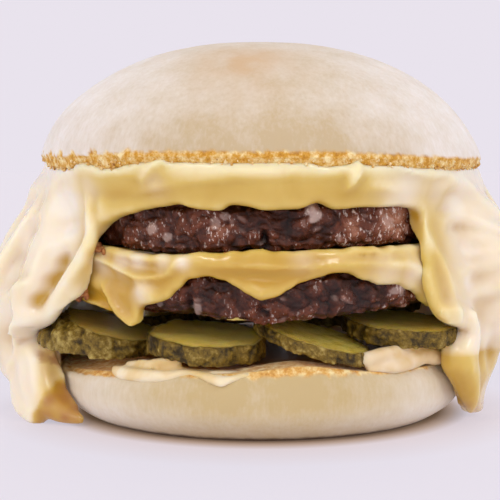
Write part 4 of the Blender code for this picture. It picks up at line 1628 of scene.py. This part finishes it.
    # Painted shade: where the cheese is painted a deeper yellow in its pockets, and in one place
    # paler, as a painted highlight.
    golden_spots: tuple[Spot, ...] = (
        Spot(-58.4, 36.5, 2.2, 0.75), Spot(-60.4, 31.5, 2.2, 0.7), Spot(-57.0, 41.0, 1.8, 0.5),
        Spot(-80.0, 22.0, 5.0, 0.6), Spot(-84.0, 36.0, 4.0, 0.4), Spot(-46.0, 43.0, 1.6, 0.3),
        Spot(-90.0, 28.0, 5.0, 0.5), Spot(-93.0, 16.0, 5.0, 0.4), Spot(56.0, 17.0, 5.0, 0.12),
        Spot(60.0, 12.0, 4.5, 0.16), Spot(63.5, 6.0, 4.5, 0.22), Spot(50.0, 44.0, 2.5, 0.15),
        Spot(35.0, 58.5, 7.0, -0.2),
    )

    def low(self, angle: Array) -> Array:
        """Return the height of the lower edge, with the drips at the back.

        Args:
            angle: Angles round the stack.

        Returns:
            Heights in millimetres.
        """
        height = around(self.lip, angle)
        for middle, half_width, tip in self.back_drips:
            offset = np.abs((angle - middle + 180.0) % 360.0 - 180.0) / half_width
            drip = tip + (height - tip) * ease(0.0, 1.0, offset) ** 1.9
            height = np.where(offset < 1.0, np.minimum(height, drip), height)
        uneven = 0.3 * soft_noise(turned_point(angle, 55.0, 0.0), 5.0, 61)
        return height + uneven * ease(2.0, 8.0, height)

    def inner_radius(self, angle: Array, height: Array) -> Array:
        """Return the radius of the inner face, clear of the layers that it passes.

        Args:
            angle: Angles round the stack.
            height: Heights.

        Returns:
            Radii in millimetres.
        """
        beside_patty = self.patty_radius + 0.3
        beside_lip = self.lower_cheese_radius + 0.4
        beside_bun = self.bun_radius + 0.4
        beside_pickles = np.maximum(beside_bun, self.pickle_reach(angle) + 0.6)
        radius = beside_patty + (beside_lip - beside_patty) * ease(50.0, 45.5, height)
        radius = radius + (beside_pickles - radius) * ease(34.0, 29.5, height)
        return radius + (beside_bun - radius) * ease(20.0, 16.0, height)

    def outer_radius(self, angle: Array, height: Array) -> Array:
        """Return the radius of the outer face, with the curtains' broad folds.

        Args:
            angle: Angles round the stack.
            height: Heights.

        Returns:
            Radii in millimetres.
        """
        away = np.abs(angle)
        side = ease(46.0, 77.0, away) * (1.0 - ease(104.0, 138.0, away))
        left, right = (along(SIDE_SWELL[which], height) for which in Side)
        front = along(self.front_swell, height)
        radius = front + (np.where(angle > 0, right, left) - front) * side
        depth = ease(62.0, 48.0, height) * (0.25 + 0.75 * ease(10.0, 24.0, height))
        for middle, half_width, amount, lean in self.curtain_folds:
            offset = angle - middle - lean * (height - self.fold_middle)
            radius = radius + amount * depth * bell(offset, 0.0, half_width)
        radius = radius + self.floor_spread * side * ease(4.0, 0.0, height)
        return np.maximum(radius, self.inner_radius(angle, height) + self.thinnest)

    def relief(self, angle: Array, height: Array) -> Array:
        """Return how far the fine folds lift the outer face.

        Args:
            angle: Angles round the stack.
            height: Heights.

        Returns:
            Millimetres outwards.
        """
        angle, height = np.broadcast_arrays(angle, height)
        points = turned_point(angle, 60.0, height)
        beside = ease(50.0, 62.0, np.abs(angle))
        hanging = (points * np.array([1.0, 1.0, 0.35])) @ ASKEW
        rise = beside * (0.8 * soft_noise(hanging, 9.5, 62) + 0.22 * soft_noise(hanging, 3.6, 63))
        straight, askew = (soft_noise(turned, 9.0, 64) for turned in (points, points @ ASKEW))
        rise = rise + 0.35 * (straight + (askew - straight) * beside)
        for fold in self.folds:
            rise = rise + fold.over(angle, height, 58.0)
        return rise * ease(65.5, 62.0, height)

    def form(self) -> Form:
        """Return the plain form of the cheese.

        Returns:
            Its points and faces.
        """
        angles = even_angles(self.segments)
        low = self.low(angles)
        rows = [(reach, self.bun.cut(angles, reach) + 0.1) for reach in (15.0, 30.0, 45.0)]
        top = np.minimum(self.bun.cut(angles, 56.0), self.bun.underside(angles)) + 0.5
        rim = self.outer_radius(angles, top)
        rows.append((rim - 3.4, top - 0.1))
        start, end = top - self.top_round, low + self.lip_round
        for turn in np.linspace(0.5 * math.pi, 0.15, 6):
            rows.append((rim - self.top_round + self.top_round * math.cos(turn),
                         start + self.top_round * math.sin(turn)))
        for share in np.linspace(0.0, 1.0, 100):
            level = start + (end - top + self.top_round) * share
            reach = self.outer_radius(angles, level) + self.relief(angles, level)
            rows.append((np.maximum(reach, self.inner_radius(angles, level) + 1.4), level))
        rows += round_turn(rows[-1][0], self.inner_radius(angles, low), end, self.lip_round, 10)
        for share in np.linspace(0.0, 1.0, 26)[1:]:
            level = end + (self.seat - 0.5 - low - self.lip_round) * share
            rows.append((self.inner_radius(angles, level), level))
        rows += [(reach, self.seat) for reach in (self.patty_radius - 1.5, 45.0, 30.0, 15.0)]
        return stacked(angles, rows, self.bun.cut_height + 0.1, self.seat)

    def build(self) -> None:
        """Build the cheese."""
        mesh = fused("cheese_over", [self.form(), *strand_forms(self.strands)], self.grain, 3)
        points = points_of(mesh)
        points[:, 2] = np.maximum(points[:, 2], 0.05)
        move_points(mesh, points)
        self.paint_tones(mesh, points, normals_of(mesh))
        add_piece("cheese_over", mesh, MoltenCheese(), Slot.CHEESE, ("cheese_upper",))

    def paint_tones(self, mesh: bpy.types.Mesh, points: Array, normals: Array) -> None:
        """Paint where the cheese is yellow, browned and milky.

        Args:
            mesh: The cheese.
            points: Its points in millimetres.
            normals: The outward direction at each.
        """
        x, y, z = points.T
        angle, _ = polar(points)
        turn = np.radians(angle)
        away = np.abs(angle)
        back = ease(112.0, 150.0, away)
        # The cut sides of the slices, which face the opening, painted a deeper yellow as painted
        # shade.
        sideways = normals[:, 0] * np.cos(turn) + normals[:, 1] * np.sin(turn)
        edge_face = np.clip(-np.sign(angle) * sideways, 0.0, 1.0) * ease(34.0, 44.0, away)
        edge_face *= ease(76.0, 60.0, away) * ease(57.0, 52.0, z)
        edge_face *= np.where(angle > 0.0, 0.42, 0.16)
        # Painted shade at the foot of the left curtain: a facet painted toffee brown and deeper yellow
        # beside the bun.
        facet = ease(-1.4, 1.6, x + 51.2 + 0.62 * (10.3 - z) + 0.8 * soft_noise(points, 3.0, 66))
        facet *= ease(12.0, 8.5, z) * ease(20.0, 0.0, y) * ease(-30.0, -40.0, x)
        # The side of the left foot that faces the bun, painted deeper yellow and less pale: painted
        # shade.
        yellow = ease(-57.0, -54.4, x) * ease(-10.0, -16.0, y) * ease(19.5, 17.0, z)
        # Painted shade: deeper yellow in hollows, on faces turned down, on the back, under the bun's
        # front and in the shade spots.
        hollow = 0.36 + 0.42 * hollowness(mesh, 30) + edge_face + 0.4 * facet + 0.06 * yellow
        hollow += 0.3 * np.clip(-normals[:, 2], 0.0, 1.0) + 0.16 * back
        hollow += 0.2 * ease(44.0, 36.0, away) * ease(63.0, 57.0, z)
        for spot in self.golden_spots:
            hollow += spot.strength * spot.fade(angle, z)
        paint(mesh, "hollow", np.clip(hollow, 0.0, 1.2))
        # Toast rubbed off on the left curtain where it meets the lower bun's cut edge.
        beside_bun = ease(-57.4, -55.4, x) * ease(-48.0, -50.0, x) * ease(-8.0, -14.0, y)
        apart = np.abs(z - 16.4 + 0.5 * (x + 54.0)) + 0.7 * soft_noise(points, 1.1, 68)
        rubbed = beside_bun * ease(1.5, 0.7, apart)
        # Painted shade on the inner side of the right run's tip, painted toffee brown.
        tip = ease(58.6, 56.4, x) * ease(46.0, 50.0, x) * ease(7.0, 4.0, z) * ease(-10.0, -16.0, y)
        browned = np.maximum(0.85 * np.maximum(facet, rubbed), 0.6 * tip)
        paint(mesh, "browned", browned * (0.8 + 0.5 * soft_noise(points, 2.2, 67)))
        # Painted light: the side curtains, lit hard from the sides, painted near white, with painted
        # highlights in spots; kept yellow where painted shade lies.
        milky = (0.76 + 0.4 * layered_noise(points @ ASKEW, 12.0, 65)) * ease(45.0, 60.0, away)
        for spot in self.milky_spots:
            milky = np.maximum(milky, spot.strength * spot.fade(angle, z))
        milky -= 1.1 * np.clip(hollow - 0.60, 0.0, 1.0)
        milky -= 0.8 * ease(21.0, 15.0, z) * ease(50.0, 55.0, angle) * ease(70.0, 66.0, angle)
        milky -= 0.9 * facet + 0.5 * yellow + 0.5 * back
        paint(mesh, "milky", np.clip(milky, 0.0, 0.95))


@dataclass
class Sauce:
    """The sauce on the lower bun: a thin spread and a few thick runs over its edge."""

    bottom: float
    top: float
    grain: float = 0.6
    segments: int = 300
    # How far the spread reaches round the stack.
    reach: Knots = (
        (-180, 50.0), (-150, 47.5), (-120, 49.5), (-90, 44.0), (-75, 36.0), (-48, 38.0),
        (-42, 48.4), (-20, 48.6), (-10, 49.6), (-3, 44.0), (3, 29.0), (24, 29.0), (32, 44.0),
        (46, 49.0), (58, 48.0), (66, 44.0), (100, 50.0), (140, 47.8),
    )
    runs: tuple[Strand, ...] = (
        Strand(((-46.0, 49.4, 15.2, 1.0), (-43.0, 50.6, 14.9, 1.6), (-38.0, 50.9, 14.8, 1.8),
                (-32.0, 50.9, 14.8, 1.8), (-27.0, 50.5, 15.0, 1.7), (-22.0, 49.7, 15.6, 1.3),
                (-18.0, 49.0, 16.0, 0.9))),
        Strand(((-17.0, 50.8, 16.0, 0.8), (-12.6, 52.0, 15.1, 1.2), (-10.4, 52.5, 14.6, 1.2),
                (-8.4, 52.0, 15.4, 1.0), (-5.0, 51.0, 16.4, 0.7))),
        Strand(((-41.0, 48.6, 16.6, 1.1), (-34.0, 47.8, 17.2, 1.3), (-29.0, 47.3, 17.9, 1.3),
                (-25.0, 46.8, 18.0, 0.9))),
        Strand(((-20.0, 49.6, 16.1, 0.8), (-14.0, 50.8, 15.7, 1.1), (-9.5, 51.8, 15.2, 1.2),
                (-6.0, 51.0, 15.8, 0.9), (-1.0, 49.6, 16.6, 0.6))),
        Strand(((31.0, 49.0, 16.2, 0.9), (36.0, 50.4, 16.4, 1.5), (42.0, 50.8, 16.9, 1.9),
                (48.0, 50.6, 17.4, 2.0), (54.0, 50.4, 17.9, 1.8), (61.0, 50.6, 18.2, 1.4))),
        Strand(((34.0, 48.5, 17.6, 1.1), (41.0, 48.4, 18.6, 1.6), (48.0, 48.0, 19.2, 1.6),
                (54.0, 48.0, 19.0, 1.2))),
        Strand(((27.0, 47.6, 18.0, 1.3), (32.0, 48.8, 19.0, 1.9), (38.0, 49.4, 19.6, 1.9),
                (45.0, 49.2, 20.0, 1.6), (52.0, 49.0, 20.0, 1.3))),
        Strand(((50.0, 51.0, 17.2, 1.2), (56.0, 51.4, 16.8, 1.7), (62.0, 51.4, 16.4, 1.6))),
    )

    def form(self) -> Form:
        """Return the thin spread.

        Returns:
            Its points and faces.
        """
        angles = even_angles(self.segments)
        uneven = 0.4 * soft_noise(turned_point(angles, 50.0, 0.0), 3.5, 71)
        reach = around(self.reach, angles) + uneven
        half = 0.5 * (self.top - self.bottom) + 0.1
        rows = [(20.0, self.top), (36.0, self.top)]
        for turn in np.linspace(0.5 * math.pi, -0.5 * math.pi, 9):
            rows.append((reach - 1.0 + math.cos(turn), self.bottom + half + half * math.sin(turn)))
        rows += [(36.0, self.bottom), (20.0, self.bottom)]
        return stacked(angles, rows, self.top, self.bottom)

    def build(self) -> None:
        """Build the sauce."""
        mesh = fused("sauce", [self.form(), *strand_forms(self.runs)], self.grain, 3)
        points, normals = points_of(mesh), normals_of(mesh)
        rise = 0.3 * layered_noise(points, 3.6, 72) * ease(30.0, 44.0, polar(points)[1])
        points = points + normals * rise[:, None]
        move_points(mesh, points)
        angle, reach = polar(points)
        thin = 0.85 * ease(0.6, 0.1, points[:, 2] - self.top) * ease(47.5, 45.5, reach)
        right = ease(26.0, 34.0, angle) * ease(80.0, 64.0, angle)
        paint(mesh, "thin", np.maximum(thin, 0.16 * right))
        add_piece("sauce", mesh, CreamySauce(), Slot.SAUCE, ("sauce_base",))


@dataclass(frozen=True)
class PickleSlice:
    """One slice: where it lies, its size and how it tilts."""

    number: int
    x: float
    y: float
    radius: float
    thickness: float
    bottom: float
    rise_x: float
    rise_y: float
    taper: float = 0.0
    grown: float = 0.8
    segments: int = 320
    # How far the top stands in, and the foot out, on the side where an end slice is round.
    end_inset: float = 0.0
    end_foot: float = 0.0
    end_side: float = -75.0
    end_width: float = 52.0
    # How much lighter each slice's flesh is painted, as painted light where it sits in shade, and how
    # much paler or darker its rind is.
    paleness: float = 0.0
    rind_tone: float = 0.0

    def reach(self, angle: Array) -> Array:
        """Return how far out the slice reaches round the stack.

        Args:
            angle: Angles round the stack.

        Returns:
            Radii, 0 where the slice isn't.
        """
        turn = np.radians(angle)
        onward = self.x * np.sin(turn) - self.y * np.cos(turn)
        aside = -self.x * np.cos(turn) - self.y * np.sin(turn)
        radius = self.radius + self.grown
        inside = np.clip(radius**2 - aside**2, 0.0, None)
        return np.where((onward > 0.0) & (inside > 0.0), onward + np.sqrt(inside), 0.0)

    def outline(self, angles: Array, level: Array | float) -> Array:
        """Return the radius of the slice at a level from 0 at its foot to 1 at its top.

        Args:
            angles: Angles round the slice.
            level: Level, in shares of the thickness.

        Returns:
            Radii in millimetres.
        """
        turn = np.radians(angles)
        lobes = 0.35 * np.sin(5.0 * turn + self.number)
        lobes += 0.25 * np.sin(11.0 * turn + 2.0 * self.number)
        end = bell(angles, self.end_side, self.end_width)
        sloped = end * (self.end_foot - (self.end_foot + self.end_inset) * level**2.6)
        return self.radius + self.grown - 0.7 + lobes + sloped

    def form(self) -> Form:
        """Return the plain form of the slice, lying flat at the origin.

        Returns:
            Its points and faces.
        """
        angles = even_angles(self.segments)
        thick = self.thickness
        rim = self.outline(angles, 1.0)
        rows = [(rim * share, thick) for share in np.linspace(0.08, 0.96, 18)]
        steep = 0.46 * math.pi
        for turn in np.linspace(steep, -steep, 30):
            level = 0.5 + 0.5 * math.sin(turn) / math.sin(steep)
            rows.append((self.outline(angles, level) + 0.5 * math.cos(turn), level * thick))
        foot = self.outline(angles, 0.0)
        rows += [(foot * share, 0.0) for share in (0.93, 0.6, 0.3)]
        return stacked(angles, rows, thick, 0.0)

    def build(self) -> None:
        """Build the slice."""
        name = f"pickle_slice_{self.number}"
        mesh = mesh_of(name, self.form())
        points, normals = points_of(mesh), normals_of(mesh)
        own = points + 37.0 * self.number
        x, y, z = points.T
        level = np.clip(z / self.thickness, 0.0, 1.0)
        angle, reach = polar(points)
        rim = self.outline(angle, level)
        rind = ease(rim - 0.9, rim - 0.2, reach)
        upright = own * np.array([1.0, 1.0, 0.6])
        near, _, _ = clumps(own + 0.8 * soft_noise(own, 1.5, 87)[:, None], 1.7, 82)
        fine, _, _ = clumps(own, 0.8, 83)
        warts = 0.6 * soft_noise(upright, 2.2, 81) + 0.5 * soft_noise(own, 1.0, 86)
        warts += 0.7 * (0.5 - near) + 0.5 * (0.5 - fine)
        rise = 0.5 * rind * warts + (1.0 - rind) * 0.08 * soft_noise(own, 3.0, 84)
        points = points + normals * rise[:, None]
        points[:, 2] *= 1.0 - self.taper * points[:, 0] / self.thickness
        points[:, 2] += self.rise_x * points[:, 0] + self.rise_y * points[:, 1]
        level_only = np.stack((x, y, 0.0 * x), -1) + 11.0 * self.number
        points[:, 2] += 0.3 * soft_noise(level_only, 9.0, 85)
        move_points(mesh, points + np.array([self.x, self.y, self.bottom]))
        paint(mesh, "rind", rind)
        # Painted light: flesh of slices in shade painted lighter.
        paint(mesh, "light", np.full(len(points), self.paleness))
        paint(mesh, "wart", self.rind_tone + np.clip(0.1 + 0.4 * warts, -0.4, 0.7))
        add_piece(name, mesh, PickledCucumber(), Slot.PICKLE, (f"pickle_{self.number}",))


@dataclass
class PickleLayer:
    """All the pickle slices, one ring on the sauce and a few more on top at the back."""

    slices: tuple[PickleSlice, ...] = (
        PickleSlice(1, -39.4, -20.0, 14.6, 5.6, 18.8, -0.07, 0.060, 0.15, end_inset=5.6,
                    end_foot=1.6, paleness=0.3, rind_tone=0.04),
        PickleSlice(2, -13.4, -34.2, 13.4, 4.4, 19.4, -0.06, 0.120, paleness=0.14, rind_tone=-0.08),
        PickleSlice(3, 12.4, -35.4, 13.2, 3.0, 20.8, -0.27, 0.080),
        PickleSlice(4, 34.8, -24.2, 14.0, 4.0, 21.7, -0.07, 0.060, paleness=0.16, rind_tone=-0.05),
        # The rest of the ring, then three more on top at the back, all hidden and so coarser.
        *(PickleSlice(*row, segments=140) for row in (
            (5, 37.0, 10.0, 13.6, 4.4, 18.2, -0.058, -0.016),
            (6, 21.5, 33.6, 13.4, 4.5, 18.1, -0.032, -0.050),
            (7, -8.0, 35.8, 13.6, 4.4, 18.2, 0.013, -0.058),
            (8, -34.0, 17.4, 14.2, 4.5, 18.2, 0.053, -0.027),
            (9, 31.0, 18.5, 13.4, 4.0, 24.0, -0.010, 0.010),
            (10, 6.0, 33.0, 13.4, 4.2, 23.9, 0.010, -0.015),
            (11, -24.5, 25.0, 13.6, 4.1, 24.0, 0.010, 0.000))),
    )

    def reach(self, angle: Array) -> Array:
        """Return how far out the slices reach round the stack."""
        return np.max([piece.reach(angle) for piece in self.slices], axis=0)

    def build(self) -> None:
        """Build every slice."""
        for piece in self.slices:
            piece.build()


@dataclass
class Crumbs:
    """Toasted crumbs that cling to the cut edge of the top bun, and a few browned bits."""

    count: int = 1500
    seed: int = 7
    # Where the band of toast is this high, a crumb is kept every time.
    full_band: float = 3.0
    # From where to where the crumbs lie up the band, how deep in the bun, and their sizes.
    up: tuple[float, float] = (-0.05, 0.85)
    depth: tuple[float, float] = (0.4, 1.1)
    size: tuple[float, float] = (0.15, 0.42)
    proportion: tuple[float, float] = (0.7, 1.3)
    # Browned bits caught in the cheese: (angle, radius, height, size).
    caught: Quads = (
        (-48.8, 53.2, 44.8, 1.5), (-47.2, 53.0, 44.2, 1.2), (-45.8, 52.6, 43.6, 0.7),
        (-53.0, 54.6, 33.8, 1.5), (-53.8, 55.0, 32.4, 1.3), (-51.8, 54.0, 32.6, 0.9),
    )

    def build(self, bun: BunTop) -> None:
        """Scatter crumbs along the cut edge of the top bun and set the browned bits.

        Args:
            bun: The top bun.
        """
        draw = np.random.default_rng(self.seed)
        spots = []
        for _ in range(self.count):
            angle = draw.uniform(-180.0, 180.0)
            band = float(around(bun.toast_band, angle))
            if draw.uniform(0.0, self.full_band) < band:
                level = float(bun.underside(np.array(angle))) + band * draw.uniform(*self.up)
                radius = bun.radius - draw.uniform(*self.depth)
                spots.append((angle, radius, level, draw.uniform(*self.size)))
        self.scatter("toast_crumbs", tuple(spots), ToastedCrumb(), Slot.BUN_TOP, draw)
        self.scatter("browned_bits", self.caught, BrownedBit(), Slot.CHEESE, draw)

    def scatter(self, name: str, spots: Quads,
                finish: Finish, slot: Slot, draw: np.random.Generator) -> None:
        """Make one piece of many small ragged bits.

        Args:
            name: Name of the piece.
            spots: Angle, radius, height and size of each bit.
            finish: Finish of the bits.
            slot: Colour slot that they belong to.
            draw: Where the bits' proportions are drawn from.
        """
        points: list[Array] = []
        faces: Faces = []
        for number, (angle, radius, level, size) in enumerate(spots):
            place = turned_point(angle, radius, level)
            form, form_faces = ball(np.zeros(3), size, 8)
            form *= 1.0 + 0.35 * soft_noise(form + place, 0.45 + 0.5 * size, 91)[:, None]
            start = number * len(form)
            points.append(form * draw.uniform(*self.proportion, 3) + place)
            faces += [tuple(corner + start for corner in face) for face in form_faces]
        add_piece(name, mesh_of(name, (np.concatenate(points), faces)), finish, slot)


# Height of the foot of each patty's wall round the stack.
LOWER_PATTY_EDGE: Knots = (
    (-180, 29.0), (-130, 30.2), (-85, 29.6), (-35, 30.5), (-19, 30.2), (-10, 28.4), (0, 27.9),
    (15, 28.7), (33, 29.8), (50, 30.9), (95, 29.4), (140, 30.4),
)
UPPER_PATTY_EDGE: Knots = (
    (-180, 44.6), (-120, 45.3), (-50, 45.1), (-27, 43.8), (0, 44.8), (30, 45.4), (45, 45.7),
    (110, 44.4), (150, 45.3),
)


def main() -> None:
    """Build the burger on its frame, from the floor up."""
    logging.basicConfig(level=logging.INFO, format="%(message)s")
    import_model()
    lower, upper = span("bun_bottom"), span("bun_top")
    sauce, first, second = span("sauce_base"), span("patty_lower"), span("patty_upper")
    Studio().build()
    BunBottom(radius=lower.radius, height=lower.top).build()
    Sauce(bottom=lower.top, top=sauce.top).build()
    pickles = PickleLayer()
    pickles.build()
    Patty("patty_lower", 28.7, first.top, LOWER_PATTY_EDGE, seed=100, phase=0.9,
          fat_pieces=(Spot(40.0, 35.2, 2.6, 0.5), Spot(-18.0, 31.0, 1.8, 0.3),
                      Spot(-30.0, 32.0, 1.4, 0.2)),
          cracks=(Fold(((-20.5, 35), (-20, 32), (-20.5, 29)), 0.8, -1.8),
                  Fold(((-2, 31.5), (0, 30.5), (2, 29.5)), 1.0, -1.4))).build()
    CheeseBetween(seat=first.top + LAYER_GAP, cover=44.2, patty_edge=UPPER_PATTY_EDGE).build()
    Patty("patty_upper", 44.6, second.top, UPPER_PATTY_EDGE, seed=200, phase=2.6,
          fat_pieces=(Spot(13.5, 53.4, 2.0, 1.5), Spot(-31.5, 49.4, 1.5, 0.7),
                      Spot(-27.0, 47.5, 1.2, 0.5), Spot(-13.0, 51.0, 1.4, 0.3),
                      Spot(-10.0, 52.9, 1.1, 0.3), Spot(9.0, 50.4, 1.0, 0.3),
                      Spot(37.0, 51.4, 1.9, 0.2), Spot(20.5, 47.4, 1.2, 0.3)),
          cracks=(Fold(((1.0, 50.0), (0.6, 47.5), (1.2, 44.8)), 0.9, -2.2),),
          bright_spots=(Spot(38.0, 51.0, 5.5, 0.55), Spot(24.0, 50.0, 4.5, 0.24),
                        Spot(-13.0, 51.0, 5.0, 0.22), Spot(-33.0, 48.5, 5.0, 0.12))).build()
    top_bun = BunTop(radius=upper.radius, crown=upper.top)
    top_bun.build()
    CheeseOver(seat=second.top + LAYER_GAP, bun=top_bun, pickle_reach=pickles.reach).build()
    Crumbs().build(top_bun)


if __name__ == "__main__":
    main()
